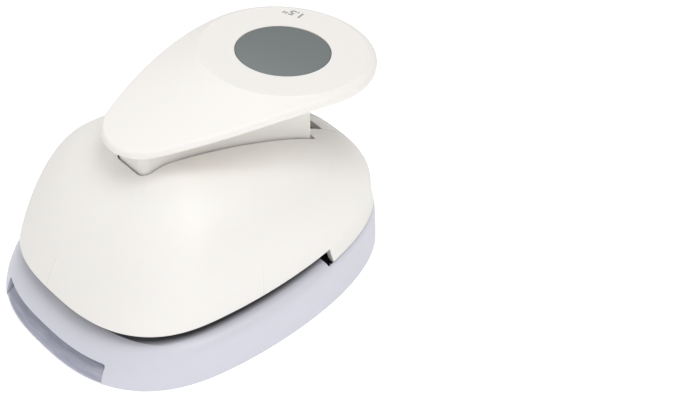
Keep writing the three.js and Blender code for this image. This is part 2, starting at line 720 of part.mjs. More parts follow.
// Directions from the pad's centre, closer together towards the nose
const noseCrowdShare = 0.5;
const leverAngles = Array.from({ length: leverCount }, (_, step) => {
  const even = (2 * Math.PI * step) / leverCount;
  return even + noseCrowdShare * Math.sin(even);
});

// A ring round the pad, at a distance inside the outline and below the cone's surface
function leverRing(inset, drop) {
  const ring = [];
  for (const angle of leverAngles) {
    const reach = leverReach(angle) - inset;
    const fall = coneFallShare * Math.max(0, reach - padRadius);
    ring.push(fromPad(reach * Math.cos(angle), reach * Math.sin(angle), -fall - drop));
  }
  return ring;
}

function padRing(radius, drop) {
  return leverAngles.map((angle) => fromPad(radius * Math.cos(angle), radius * Math.sin(angle), -drop));
}

// The solid that the lever's top surface bounds, drawn in by a wall
function leverForm(wall, bottom) {
  const edge = Math.max(leverEdgeRadius - wall, leverEdgeRadius / 4);
  const arc = Array.from({ length: leverEdgeSteps + 1 }, (_, step) => {
    const angle = (Math.PI / 2) * (step / leverEdgeSteps);
    return leverRing(wall + edge * (1 - Math.cos(angle)), wall + edge * (1 - Math.sin(angle)));
  });
  return skin([leverRing(wall, bottom), ...arc, padRing(padRadius - wall / 2, wall)]);
}

const wellPlaces = wellPlaceShares.map((share) => share * bodyLength - bodyFront);

function makeLeverShell() {
  const cavity = leverForm(leverWall, leverRim + overrun);
  const ribs = padRibShares.map((share) => {
    const along = share * padRibSpacing;
    const half = Math.sqrt((leverRadius - leverWall / 2) ** 2 - along ** 2);
    const geometry = new THREE.BoxGeometry(padRibThickness, 2 * half, padRibHeight + gap);
    geometry.translate(along, 0, gap / 2 - leverWall - padRibHeight / 2);
    return solid(geometry.applyMatrix4(padMatrix));
  });
  const bodyRoom = raised(bodyPlan(2 * gap, bodyRear + 2 * gap), 0, housingTop * 2);
  const bosses = wellPlaces.map((x) => upright(x, 0, wellTop(x) - leverWall - wellDepth + gap,
    wellTop(x) - leverWall / 2, wellInnerRadius - gap));
  const recess = discTool(slideGap, overrun);
  const shell = cut(leverForm(0, leverRim), [cavity]);
  const ribSet = cut(join(ribs), [bodyRoom]);
  const holes = wellPlaces.map((x) => upright(x, 0, 0, wellTop(x) - leverWall - gap, screwHole));
  return cut(join([shell, ribSet, ...bosses]), [recess, ...holes]);
}

// Height of the lever's surface above a place on the middle plane
function wellTop(x) {
  const away = Math.abs(x - padCentreX);
  const level = padCentreHeight - (x - padCentreX) * Math.tan(padTilt);
  return level - coneFallShare * Math.max(0, away - padRadius);
}

// A round in the pad's plane that reaches above it by a rise
function discTool(growth, rise) {
  return skin([
    padRing(discRadius + growth, discThickness + growth),
    padRing(discRadius + growth, -rise),
  ]);
}

function makeSizeDisc() {
  return skin([padRing(discRadius, discThickness), padRing(discRadius, 0)]);
}

// Lever body

function makeLeverBody() {
  const high = housingTop * 2;
  const under = leverForm(leverWall + gap, high);
  const sunk = dome(bodySink, seamHeight);
  const wall = cut(raised(bodyPlan(0, bodyRear), pinHeight, high), [
    cut(raised(bodyPlan(-bodyWall, bodyRear - bodyWall), 0, high), [rearSwing(bodyWall)]),
    sunk,
  ]);
  const roof = cut(raised(bodyPlan(-bodyWall / 2, bodyRear - bodyWall / 2), pinHeight, high),
    [leverForm(leverWall + gap + bodyWall, high)]);
  const wells = wellPlaces.map((x) => {
    const floor = wellTop(x) - leverWall - wellDepth - wellFloor;
    return cut(upright(x, 0, floor, high, wellRadius), [
      upright(x, 0, floor + wellFloor, high, wellInnerRadius),
      upright(x, 0, 0, high, screwHole),
    ]);
  });
  const noseFloor = housingTop - housingWall - bodySink;
  const fromPin = (share) => pinX + share * eyeRadius;
  const [armFoot, armHeel, armShoulder] = armShares;
  const arms = mirrored((side) => {
    const near = side * (eyeHalfWidth - armThickness);
    const far = side * eyeHalfWidth;
    return drawnAcross([
      [fromPin(armFoot[0]), pinHeight + armFoot[1] * eyeRadius],
      [fromPin(armHeel[0]), pinHeight + armHeel[1] * eyeRadius],
      [armEnd, noseFloor],
      [armEnd, housingTop + bodySink],
      [-bodyFront, housingTop + bodySink],
      [-bodyFront, noseFloor - bodySink],
      [fromPin(armShoulder[0]), pinHeight + armShoulder[1] * eyeRadius],
    ], Math.min(near, far), Math.max(near, far));
  });
  const narrowArms = join(arms).intersect(join([
    raised(bodyPlan(0, bodyRear), 0, high),
    block([-baseFront, -eyeHalfWidth, 0], [-bodyFront + bodyCorner, eyeHalfWidth, noseFloor]),
  ]));
  const eye = crossBar(pinX, pinHeight, -eyeHalfWidth, eyeHalfWidth, eyeRadius, roundCount);
  const pusherTop = housingTop + bodySink;
  const pusher = join([
    crossBar(dieAxisX, contactHeight + pusherRadius, -pusherHalfWidth, pusherHalfWidth, pusherRadius, roundCount),
    block([dieAxisX - pusherRadius, -pusherHalfWidth, contactHeight + pusherRadius],
      [dieAxisX + pusherRadius, pusherHalfWidth, high]),
    block([dieAxisX - bodyWall / 2, -bodyFrontHalfWidth, noseFloor],
      [dieAxisX + bodyWall / 2, bodyFrontHalfWidth, pusherTop]),
  ]);
  const swing = rearSwing(0);
  const body = join([wall, roof, ...wells, narrowArms, eye, pusher]).intersect(under);
  const wellBores = wellPlaces.map((x) => {
    const floor = wellTop(x) - leverWall - wellDepth - wellFloor;
    return join([
      upright(x, 0, floor + wellFloor, high, wellInnerRadius),
      upright(x, 0, 0, high, screwHole),
    ]);
  });
  const bore = crossBar(pinX, pinHeight, -baseHalfWidth, baseHalfWidth, pinRadius + gap);
  return cut(body, [bore, swing, ...wellBores]);
}

// The rear face above the housing curves forward, so that it clears the slot as the lever swings
function rearSwing(inset) {
  const reach = bodyRear + slotRearGap - gap - pinX - inset;
  const high = housingTop * 2;
  const round = crossBar(pinX, pinHeight, -baseHalfWidth, baseHalfWidth, reach, swingCount);
  return cut(block([padCentreX - padRadius, -baseHalfWidth, pinHeight], [leverRear, baseHalfWidth, high]),
    [round]);
}

// Small parts

function makeHingePin() {
  const half = bearingInner + bearingWidth;
  return crossBar(pinX, pinHeight, -half, half, pinRadius);
}

function makePinCap(side) {
  const near = side * bearingInner;
  const far = near + side * bearingWidth;
  const y = side * (bearingInner + bearingWidth / 2);
  return cut(block([pinX - bearingFront, Math.min(near, far), pinHeight - capHeight],
    [pinX + bearingRear, Math.max(near, far), pinHeight - seat]), [
    crossBar(pinX, pinHeight, -baseHalfWidth, baseHalfWidth, pinRadius + gap),
    upright(pinX + capScrewOffset, y, 0, pinHeight, screwHole),
  ]);
}

const makeCapScrews = () => mirrored((side) => screwUp(
  pinX + capScrewOffset, side * (bearingInner + bearingWidth / 2),
  pinHeight - capHeight - seat - screwHeadHeight, capHeight + screwLength / 3));

const makeDieScrews = () => dieScrewPlaces.map(([x, y]) => screwUp(
  x, y, ceilingHeight - seat - screwHeadHeight, diePlateTop - ceilingHeight - 2 * gap));

const makeGuideScrews = () => guideScrewPlaces.map(([x, y]) => join([
  upright(x, y, guidePlateBottom + seat, guidePlateTop, screwHeadRadius, smallRoundCount, screwRadius),
  upright(x, y, guidePlateBottom + gap, guidePlateTop + screwLength - gap, screwRadius),
]));

const makeHousingScrews = () => housingScrewPlaces.map(([x, y]) => screwUp(
  x, y, ceilingHeight - seat - screwHeadHeight, screwLength + seamHeight / 2 - gap));

const makeCutterScrews = () => cutterScrewPlaces.map(([x, y]) => screwUp(
  x, y, cutterTop - cutterCrown - seat - screwHeadHeight, cutterCrown + blockDiscThickness));

const makeLeverScrews = () => wellPlaces.map((x) => screwUp(
  x, 0, wellTop(x) - leverWall - wellDepth - wellFloor - seat - screwHeadHeight, wellDepth));

// Materials and assembly

const finish = (color, roughness, metalness, opacity = 1) =>
  ({ color, roughness, metalness, opacity, transparent: opacity < 1 });
const finishes = {
  basePlastic: finish(0xd3d4de, 0.45, 0),
  trayPlastic: finish(0x8489a0, 0.2, 0, 0.8),
  whitePlastic: finish(0xf2eeea, 0.4, 0),
  innerPlastic: finish(0xd8d5d0, 0.5, 0),
  discPlastic: finish(0x7f8687, 0.5, 0),
  steel: finish(0xa9abae, 0.35, 1),
  brightSteel: finish(0xc2c4c7, 0.25, 1),
  springSteel: finish(0x8f9296, 0.3, 1),
};

const punch = new THREE.Group();

function add(name, shape, finishName) {
  const mesh = new THREE.Mesh(geometryOf(shape), new THREE.MeshStandardMaterial(finishes[finishName]));
  mesh.name = name;
  punch.add(mesh);
}

add("base_shell", makeBaseShell(), "basePlastic");
add("chip_tray", makeChipTray(), "trayPlastic");
add("upper_housing", makeUpperHousing(), "whitePlastic");
add("die_plate", makeDiePlate(), "steel");
add("guide_plate", makeGuidePlate(), "steel");
add("throat_spacer", makeSpacer(), "steel");
add("punch_cutter", makeCutter(), "brightSteel");
add("press_block", makePressBlock(), "innerPlastic");
for (const [side, name] of [[1, "left"], [-1, "right"]]) {
  add(`guide_post_${name}`, makePost(side), "brightSteel");
  add(`post_clip_${name}`, makePostClip(side), "springSteel");
  add(`return_spring_${name}`, makeSpring(side), "springSteel");
  add(`pin_cap_${name}`, makePinCap(side), "innerPlastic");
}
add("hinge_pin", makeHingePin(), "brightSteel");
add("lever_shell", makeLeverShell(), "whitePlastic");
add("lever_body", makeLeverBody(), "whitePlastic");
add("size_disc", makeSizeDisc(), "discPlastic");
const fasteners = {
  plate_rivet: makeRivets,
  pin_cap_screw: makeCapScrews,
  die_screw: makeDieScrews,
  guide_screw: makeGuideScrews,
  housing_screw: makeHousingScrews,
  cutter_screw: makeCutterScrews,
  lever_screw: makeLeverScrews,
};
for (const [name, make] of Object.entries(fasteners)) {
  make().forEach((shape, index) => add(`${name}_${index + 1}`, shape, "brightSteel"));
}

const bounds = new THREE.Box3().setFromObject(punch);
punch.position.x = -(bounds.min.x + bounds.max.x) / 2;
console.log(`moved by ${punch.position.x.toFixed(4)} mm along X`);

export default punch;
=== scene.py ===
"""Circle craft punch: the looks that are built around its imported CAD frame.

Sizes are in millimetres and their places are measured, as in the part's source, from
the widest place of the base. ``Piece.settle`` brings a finished mesh into the frame.
"""

import sys
import logging
import math
from collections.abc import Callable, Iterable
from dataclasses import dataclass, field
from enum import Enum
from functools import cache

import bmesh
import bpy
from mathutils import Matrix, Vector

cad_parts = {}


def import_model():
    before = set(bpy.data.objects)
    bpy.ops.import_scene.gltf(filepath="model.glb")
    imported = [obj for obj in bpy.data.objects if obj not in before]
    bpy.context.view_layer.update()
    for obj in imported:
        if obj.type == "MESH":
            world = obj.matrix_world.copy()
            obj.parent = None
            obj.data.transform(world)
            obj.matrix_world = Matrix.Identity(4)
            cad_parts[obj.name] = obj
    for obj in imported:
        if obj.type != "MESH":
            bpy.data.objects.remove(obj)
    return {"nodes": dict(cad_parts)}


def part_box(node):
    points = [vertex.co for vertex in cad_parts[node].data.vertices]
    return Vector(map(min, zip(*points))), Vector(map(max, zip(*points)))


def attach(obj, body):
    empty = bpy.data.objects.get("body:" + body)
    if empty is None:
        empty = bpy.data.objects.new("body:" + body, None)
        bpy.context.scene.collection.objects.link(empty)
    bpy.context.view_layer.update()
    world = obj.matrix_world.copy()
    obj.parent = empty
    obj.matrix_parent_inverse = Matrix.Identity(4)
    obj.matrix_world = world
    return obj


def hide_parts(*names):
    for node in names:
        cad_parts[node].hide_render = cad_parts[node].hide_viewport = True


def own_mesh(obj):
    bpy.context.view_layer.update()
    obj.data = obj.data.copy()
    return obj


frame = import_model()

LOG = logging.getLogger("craft_punch")
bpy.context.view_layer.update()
MM = 0.001
FRAME_SHIFT = -16.4586
"""Millimetres along X from the widest place of the base to the frame's origin."""
MERGE = 1e-4
"""Millimetres within which two vertices of a form are one."""
CLEAR = 80.0
"""Distance from the widest place of the base that lies outside the punch in every direction."""
OFF_WHITE = (0.92, 0.897, 0.862)
"""Colour of the dome and the lever."""

Colour = tuple[float, float, float]
Point = tuple[float, float, float]


class Signal:
    """A number that varies over a surface, with operators that add Math nodes."""

    def __init__(self, recipe: "Recipe", socket: bpy.types.NodeSocket) -> None:
        """Wraps an output socket.

        Args:
            recipe: The material that the socket belongs to.
            socket: The output that carries the number.
        """
        self.recipe = recipe
        self.socket = socket

    def math(
        self, operation: str, *others: "Signal | float", first: float | None = None
    ) -> "Signal":
        """Adds one Math node.

        Args:
            operation: The node's operation.
            others: What comes after this signal.
            first: A number that comes before this signal, for a reflected operator.

        Returns:
            The node's result.
        """
        values = [self, *others] if first is None else [first, self]
        made = self.recipe.node(
            "ShaderNodeMath", {"operation": operation}, dict(enumerate(values)))
        return Signal(self.recipe, made.outputs[0])

    def __add__(self, other: "Signal | float") -> "Signal":
        """Adds."""
        return self.math("ADD", other)

    __radd__ = __add__

    def __sub__(self, other: "Signal | float") -> "Signal":
        """Subtracts."""
        return self.math("SUBTRACT", other)

    def __rsub__(self, other: float) -> "Signal":
        """Subtracts this signal from a number."""
        return self.math("SUBTRACT", first=other)

    def __mul__(self, other: "Signal | float") -> "Signal":
        """Multiplies."""
        return self.math("MULTIPLY", other)

    __rmul__ = __mul__

    def __truediv__(self, other: "Signal | float") -> "Signal":
        """Divides."""
        return self.math("DIVIDE", other)

    def __pow__(self, other: "Signal | float") -> "Signal":
        """Raises to a power."""
        return self.math("POWER", other)

    def __abs__(self) -> "Signal":
        """Drops the sign."""
        return self.math("ABSOLUTE")

    def above(self, limit: float) -> "Signal":
        """Is 1 where this signal is above a limit and 0 elsewhere."""
        return self.math("GREATER_THAN", limit)

    def below(self, limit: float) -> "Signal":
        """Is 1 where this signal is below a limit and 0 elsewhere."""
        return self.math("LESS_THAN", limit)

    def band(self, middle: float, half_width: float) -> "Signal":
        """Is 1 at a middle value and fades to 0 at half a width on each side of it."""
        away = abs(self - middle) / half_width
        return (1 - away).math("MAXIMUM", 0.0)


class Recipe:
    """The node tree of one material, built round a single Principled shader."""

    def __init__(self, name: str) -> None:
        """Starts an empty material.

        Args:
            name: The material's name.
        """
        self.material = bpy.data.materials.new(name)
        self.material.use_nodes = True
        self.tree = self.material.node_tree
        self.tree.nodes.clear()
        self.surface = self.node("ShaderNodeBsdfPrincipled")
        self.node("ShaderNodeOutputMaterial", inputs={"Surface": self.surface.outputs[0]})
        self.place = self.node("ShaderNodeTexCoord").outputs["Object"]
        split = self.node("ShaderNodeSeparateXYZ", inputs={0: self.place})
        self.x, self.y, self.z = (Signal(self, split.outputs[axis]) for axis in "XYZ")

    def plug(self, value: object, socket: bpy.types.NodeSocket) -> None:
        """Links a signal or a socket to an input, or sets the input to a value.

        Args:
            value: The signal, socket or value.
            socket: The input.
        """
        if isinstance(value, Signal):
            value = value.socket
        if isinstance(value, bpy.types.NodeSocket):
            self.tree.links.new(value, socket)
        else:
            socket.default_value = value

    def node(
        self,
        kind: str,
        settings: dict[str, object] | None = None,
        inputs: dict[int | str, object] | None = None,
    ) -> bpy.types.Node:
        """Adds one node.

        Args:
            kind: The node's type.
            settings: Its own properties, which are set first.
            inputs: Values or links by socket name or number.

        Returns:
            The node.
        """
        made = self.tree.nodes.new(kind)
        for name, value in (settings or {}).items():
            setattr(made, name, value)
        for name, value in (inputs or {}).items():
            self.plug(value, made.inputs[name])
        return made

    def noise(
        self, grain: float, detail: float = 3.0, stretch: Point = (1.0, 1.0, 1.0)
    ) -> Signal:
        """Smooth noise from 0 to 1.

        Args:
            grain: Size of its spots in millimetres.
            detail: How many finer layers it has.
            stretch: How much it is squeezed along X, Y and Z.

        Returns:
            The noise.
        """
        placed = self.node("ShaderNodeMapping", inputs={"Vector": self.place, "Scale": stretch})
        made = self.node("ShaderNodeTexNoise", {"noise_dimensions": "3D"}, {
            "Vector": placed.outputs[0], "Scale": 1.0 / (grain * MM), "Detail": detail})
        return Signal(self, made.outputs["Fac"])

    def pits(self, grain: float) -> Signal:
        """Distance to the nearest of many scattered points, as a spark-eroded mould leaves.

        Args:
            grain: Distance between the points in millimetres.

        Returns:
            The distance, from 0 to about 1.
        """
        made = self.node("ShaderNodeTexVoronoi", {"feature": "SMOOTH_F1"}, {
            "Vector": self.place, "Scale": 1.0 / (grain * MM), "Smoothness": 0.6})
        return Signal(self, made.outputs["Distance"])

    def mix(
        self, share: "Signal | float", first: object, second: object
    ) -> bpy.types.NodeSocket:
        """Mixes two colours.

        Args:
            share: How much of the second colour there is.
            first: A colour or a colour's socket.
            second: A colour or a colour's socket.

        Returns:
            The mixed colour.
        """
        solid = [(*c, 1.0) if isinstance(c, tuple) else c for c in (first, second)]
        made = self.node("ShaderNodeMix", {"data_type": "RGBA", "clamp_factor": True},
                         {0: share, 6: solid[0], 7: solid[1]})
        return made.outputs[2]

    def bump(self, height: Signal, depth: float) -> bpy.types.NodeSocket:
        """Turns a height into a bent normal.

        Args:
            height: The height, where 1 is the full depth.
            depth: The depth in millimetres.

        Returns:
            The normal.
        """
        made = self.node("ShaderNodeBump", inputs={
            "Height": height, "Distance": depth * MM, "Strength": 1.0})
        return made.outputs[0]

    def feed(self, **sockets: object) -> bpy.types.Material:
        """Sets or links the shader's own sockets.

        Args:
            sockets: Values by socket name, with an underscore for each space.

        Returns:
            The finished material.
        """
        for name, value in sockets.items():
            self.plug(value, self.surface.inputs[name.replace("_", " ")])
        return self.material


def shade(colour: Colour, share: float) -> Colour:
    """Makes a colour lighter or darker by a share of itself."""
    return tuple(min(1.0, channel * share) for channel in colour)


@dataclass(frozen=True)
class MouldLine:
    """A faint raised line where two parts of the mould met, painted lighter as a highlight, with a
    band of painted shade beside it.

    Attributes:
        place: Where it runs: along X for a line down the sides, along Y for one down the front.
        top: Height at which it fades out.
        front: Whether it runs down the front.
        half: Half the width of its ridge.
        beside: Distance from the ridge to the band of painted shade beside it.
        shade_step_half: Half the width of that band of painted shade.
    """

    place: float
    top: float
    front: bool = False
    half: float = 0.4
    beside: float = 0.5
    shade_step_half: float = 0.3

    def marks(self, recipe: Recipe) -> tuple[Signal, Signal]:
        """Finds the ridge, which takes a painted highlight, and the band of painted shade beside
        it.

        Args:
            recipe: The material that asks.

        Returns:
            1 in the middle of each and 0 away from it.
        """
        within = recipe.z.below(self.top * MM)
        if self.front:
            within = within * recipe.x.below(FRAME_SHIFT * MM)
        across = recipe.y if self.front else recipe.x
        place = self.place if self.front else self.place + FRAME_SHIFT
        return (across.band(place * MM, self.half * MM) * within,
                across.band((place + self.beside) * MM, self.shade_step_half * MM) * within)


@dataclass(frozen=True)
class PaintedNotchShade:
    """Painted shade on the faces of the notch in the base at the rear end of the card gap, which
    makes them all but black as deep shadow.

    Attributes:
        start: Where it starts along X.
        end: Where it ends.
        half: Half its width.
        shelf_end: Where the dark floor behind it ends.
        shelf_half: Half the width of that floor.
        low: Height above which faces belong to it.
        high: Height below which they do.
        share: How light the painted shade leaves its faces beside the plastic's own colour.
    """

    start: float = 35.05
    end: float = 37.55
    half: float = 34.3
    shelf_end: float = 42.0
    shelf_half: float = 32.2
    low: float = 8.4
    high: float = 11.8
    share: float = 0.05

    def faces(self, recipe: Recipe) -> Signal:
        """Tells whether a place is on the notch's faces, which take painted shade.

        Args:
            recipe: The material that asks.

        Returns:
            1 on them and 0 elsewhere.
        """
        along, across = recipe.x / MM - FRAME_SHIFT, abs(recipe.y) / MM
        trench = along.above(self.start) * along.below(self.end) * across.below(self.half)
        shelf = (along.above(self.end - 0.1) * along.below(self.shelf_end)
                 * across.below(self.shelf_half))
        return (trench + shelf) * recipe.z.above(self.low * MM) * recipe.z.below(self.high * MM)


@dataclass(frozen=True)
class PaintedThroatShade:
    """Painted shade on the faces of the gap that the card slides into, darkening them as the gap's
    shadow would.

    Attributes:
        share: How light the painted shade leaves its faces beside the plastic's own colour.
        low: Height above which faces belong to it.
        high: Height below which they do.
        reaches: Its reach to the front, the rear and the sides from the widest place.
        powers: How square its plan is, in the same order.
        fade: How much of the reach its dark edge takes.
    """

    share: float
    low: float
    high: float
    reaches: Point = (34.6, 70.0, 37.4)
    powers: Point = (2.94, 1.84, 2.6)
    fade: float = 0.2

    def inside(self, recipe: Recipe) -> Signal:
        """Tells how far inside the gap a place is, which sets how much painted shade it takes.

        Args:
            recipe: The material that asks.

        Returns:
            1 inside and 0 outside.
        """
        along = recipe.x / MM - FRAME_SHIFT
        parts = ((along * -1.0).math("MAXIMUM", 0.0), along.math("MAXIMUM", 0.0),
                 abs(recipe.y) / MM)
        spread = [(part / reach) ** power
                  for part, reach, power in zip(parts, self.reaches, self.powers)]
        depth = (1 - (spread[0] + spread[1] + spread[2])) / self.fade
        return (depth.math("MAXIMUM", 0.0).math("MINIMUM", 1.0)
                * recipe.z.above(self.low * MM) * recipe.z.below(self.high * MM))


@dataclass(frozen=True)
class MouldedPlastic:
    """Injection-moulded plastic with a fine spark-eroded texture.

    Attributes:
        name: The material's name.
        colour: Its base colour.
        roughness: Its middle roughness.
        grain: Size of the texture's pits.
        depth: Depth of the texture.
        bleed: Weight of the light that spreads under the surface.
        lines: Faint mould lines, with painted highlights and painted shade.
        throat: Painted shade where it lines the gap for the card.
        notch: Painted shade where it lines the notch at the gap's end.
        relief: Height, beside the texture's, that the mould lines take up.
        drift: Size of the broad drift in its tone.
        mottle: Size of the small mottle in its tone.
        rubbed: Size of the patches that handling has rubbed.
        spread: How far light spreads under the surface.
    """

    name: str
    colour: Colour
    roughness: float = 0.42
    grain: float = 0.35
    depth: float = 0.012
    bleed: float = 0.0
    lines: tuple[MouldLine, ...] = ()
    throat: PaintedThroatShade | None = None
    notch: PaintedNotchShade | None = None
    relief: float = 0.05
    drift: float = 38.0
    mottle: float = 3.2
    rubbed: float = 7.0
    spread: float = 1.2

    def make(self) -> bpy.types.Material:
        """Builds the material.

        Returns:
            The material.
        """
        recipe = Recipe(self.name)
        drift = recipe.noise(self.drift, detail=2.0)
        mottle = recipe.noise(self.mottle, detail=4.0)
        colour = recipe.mix(drift, shade(self.colour, 0.985), shade(self.colour, 1.012))
        colour = recipe.mix(mottle * 0.5, colour, shade(self.colour, 0.975))
        rubbed = recipe.noise(self.rubbed, detail=5.0, stretch=(1.0, 0.35, 1.0))
        roughness = self.roughness + (rubbed - 0.5) * 0.12
        height = recipe.pits(self.grain) * 0.7 + recipe.noise(self.grain * 2.4) * 0.3
        height = height * (self.depth / (self.depth + self.relief))
        for line in self.lines:
            ridge, step = line.marks(recipe)
            height = height + ridge * 2.0
            # The ridge's lighter colour is a painted highlight and the darker band beside it is
            # painted shade.
            colour = recipe.mix(ridge * 0.9, colour, shade(self.colour, 1.06))
            colour = recipe.mix(step * 0.6, colour, shade(self.colour, 0.93))
        # Painted shade: faces in the card gap are darkened as its shadow.
        if self.throat:
            colour = recipe.mix(
                self.throat.inside(recipe), colour, shade(self.colour, self.throat.share))
        # Painted shade: the notch's faces are darkened almost to black as deep shadow.
        if self.notch:
            colour = recipe.mix(
                self.notch.faces(recipe), colour, shade(self.colour, self.notch.share))
        return recipe.feed(
            Base_Color=colour,
            Roughness=roughness,
            Normal=recipe.bump(height, self.depth + self.relief),
            Subsurface_Weight=self.bleed,
            Subsurface_Scale=self.spread * MM,
            IOR=1.49,
        )


@dataclass(frozen=True)
class ClearPlastic:
    """Tinted see-through plastic, polished outside and a little hazy.

    Attributes:
        name: The material's name.
        colour: Its tint.
        clearness: Weight of the light that goes through.
        painted_shade_from: Height above which painted shade darkens it, where the window's top edge
            shades it.
        streak: Size of its flow streaks, whose relief is real and whose lighter colour is a painted
            highlight.
        haze: Size of the drift in its tint.
        rub: Length of the rub marks along its face.
        scuff: Size of its scuffs.
    """

    name: str
    colour: Colour
    clearness: float
    painted_shade_from: float = 3.4
    streak: float = 5.0
    haze: float = 22.0
    rub: float = 1.1
    scuff: float = 1.4

    def make(self) -> bpy.types.Material:
        """Builds the material.

        Returns:
            The material.
        """
        recipe = Recipe(self.name)
        streaks = recipe.noise(self.streak, detail=4.0, stretch=(0.6, 0.25, 3.0))
        haze = recipe.noise(self.haze, detail=2.0)
        colour = recipe.mix(haze, shade(self.colour, 0.9), shade(self.colour, 1.12))
        # The streaks' lighter colour is a painted highlight of light showing through the plastic.
        colour = recipe.mix(streaks * 0.4, colour, shade(self.colour, 1.35))
        rubs = recipe.noise(self.rub, detail=3.0, stretch=(0.12, 0.12, 1.6))
        colour = recipe.mix((rubs - 0.35) * 1.5, colour, shade(self.colour, 1.7))
        # Painted shade: darker towards the top, where the window's top edge shades the lip.
        colour = recipe.mix((recipe.z / MM - self.painted_shade_from) * 0.3, colour, shade(self.colour, 0.4))
        scuff = recipe.noise(self.scuff, detail=5.0, stretch=(1.0, 0.2, 1.0))
        return recipe.feed(
            Base_Color=colour,
            Roughness=0.12 + scuff * 0.14,
            Normal=recipe.bump(streaks + scuff * 0.3, 0.03),
            Coat_Weight=0.5,
            Coat_Roughness=0.08,
            Transmission_Weight=self.clearness,
            IOR=1.5,
        )


class Lay(Enum):
    """Direction of the fine scratches on a metal piece, as squeezes along X, Y and Z."""

    ALONG = (0.06, 1.0, 1.0)
    UP = (1.0, 1.0, 0.06)
    NONE = (1.0, 1.0, 1.0)


@dataclass(frozen=True)
class WorkedSteel:
    """Steel with rolled, drawn or ground scratches.

    Attributes:
        name: The material's name.
        colour: Its reflected colour.
        roughness: Its middle roughness.
        lay: Direction of the scratches.
        scratch: Width of a scratch.
        stain: How strongly oil and handling have dulled it.
        cloud: Size of the dulled patches.
    """

    name: str
    colour: Colour
    roughness: float
    lay: Lay
    scratch: float = 0.25
    stain: float = 0.15
    cloud: float = 6.0

    def make(self) -> bpy.types.Material:
        """Builds the material.

        Returns:
            The material.
        """
        recipe = Recipe(self.name)
        scratches = recipe.noise(self.scratch, detail=4.0, stretch=self.lay.value)
        clouds = recipe.noise(self.cloud, detail=5.0)
        dull = (clouds - 0.42) * 2.2 * self.stain
        colour = recipe.mix(scratches, shade(self.colour, 0.9), shade(self.colour, 1.08))
        colour = recipe.mix(dull, colour, shade(self.colour, 0.55))
        return recipe.feed(
            Base_Color=colour,
            Metallic=1.0,
            Roughness=self.roughness + (scratches - 0.5) * 0.16 + dull * 0.5,
            Normal=recipe.bump(scratches, 0.008),
        )


@dataclass(frozen=True)
class PrintedInk:
    """Pad-printed ink on moulded plastic.

    Attributes:
        name: The material's name.
        colour: Its colour.
        speckle: Size of the speckle that a pad print leaves.
    """

    name: str
    colour: Colour
    speckle: float = 0.12

    def make(self) -> bpy.types.Material:
        """Builds the material.

        Returns:
            The material.
        """
        recipe = Recipe(self.name)
        speckle = recipe.noise(self.speckle, detail=3.0)
        colour = recipe.mix((speckle - 0.4) * 1.6, self.colour, shade(self.colour, 1.3))
        return recipe.feed(Base_Color=colour, Roughness=0.5 + speckle * 0.1,
                           Normal=recipe.bump(speckle, 0.004))


@dataclass(frozen=True)
class Finishes:
    """Every finish on the punch."""

    white: MouldedPlastic = MouldedPlastic("white_moulding", OFF_WHITE, roughness=0.5, bleed=0.06)
    # The housing's faces under its lip take painted shade in the card gap.
    housing: MouldedPlastic = MouldedPlastic(
        "housing_moulding", OFF_WHITE, roughness=0.52, bleed=0.06, throat=PaintedThroatShade(0.2, 15.0, 16.2),
        # Mould lines with painted highlights and painted shade.
        lines=(MouldLine(3.5, 24.0, front=True), MouldLine(10.0, 27.0)))
    # The base takes painted shade in the card gap and in its notch.
    base: MouldedPlastic = MouldedPlastic(
        "base_moulding", (0.675, 0.68, 0.752), roughness=0.4, grain=0.3,
        throat=PaintedThroatShade(0.16, 12.0, 13.0, fade=0.15), notch=PaintedNotchShade())
    inner: MouldedPlastic = MouldedPlastic(
        "inner_moulding", (0.66, 0.64, 0.61), roughness=0.5, grain=0.5)
    disc: MouldedPlastic = MouldedPlastic(
        "disc_inlay", (0.19, 0.21, 0.212), roughness=0.5, grain=0.25, depth=0.02)
    tray: ClearPlastic = ClearPlastic("tray_plastic", (0.42, 0.43, 0.52), clearness=0.25)
    plate: WorkedSteel = WorkedSteel("stamped_plate", (0.56, 0.57, 0.58), 0.3, Lay.ALONG)
    # Near-black steel for the throat spacer is painted shade, so the notch behind it reads as deep
    # shadow.
    black: WorkedSteel = WorkedSteel("notch_shade_steel", (0.03, 0.03, 0.032), 0.5, Lay.NONE, 0.3)
    bright: WorkedSteel = WorkedSteel("plated_steel", (0.68, 0.68, 0.69), 0.22, Lay.NONE, 0.4, 0.08)
    drawn: WorkedSteel = WorkedSteel("drawn_bar", (0.62, 0.62, 0.63), 0.25, Lay.UP, 0.2, 0.1)
    wire: WorkedSteel = WorkedSteel("spring_wire", (0.42, 0.42, 0.43), 0.3, Lay.NONE, 0.15, 0.3)
    ink: PrintedInk = PrintedInk("size_ink", (0.33, 0.34, 0.35))


class Cut(Enum):
    """What happens where two closed forms meet."""

    AWAY = "DIFFERENCE"
    ONTO = "UNION"
    WITHIN = "INTERSECT"


Form = bmesh.types.BMesh


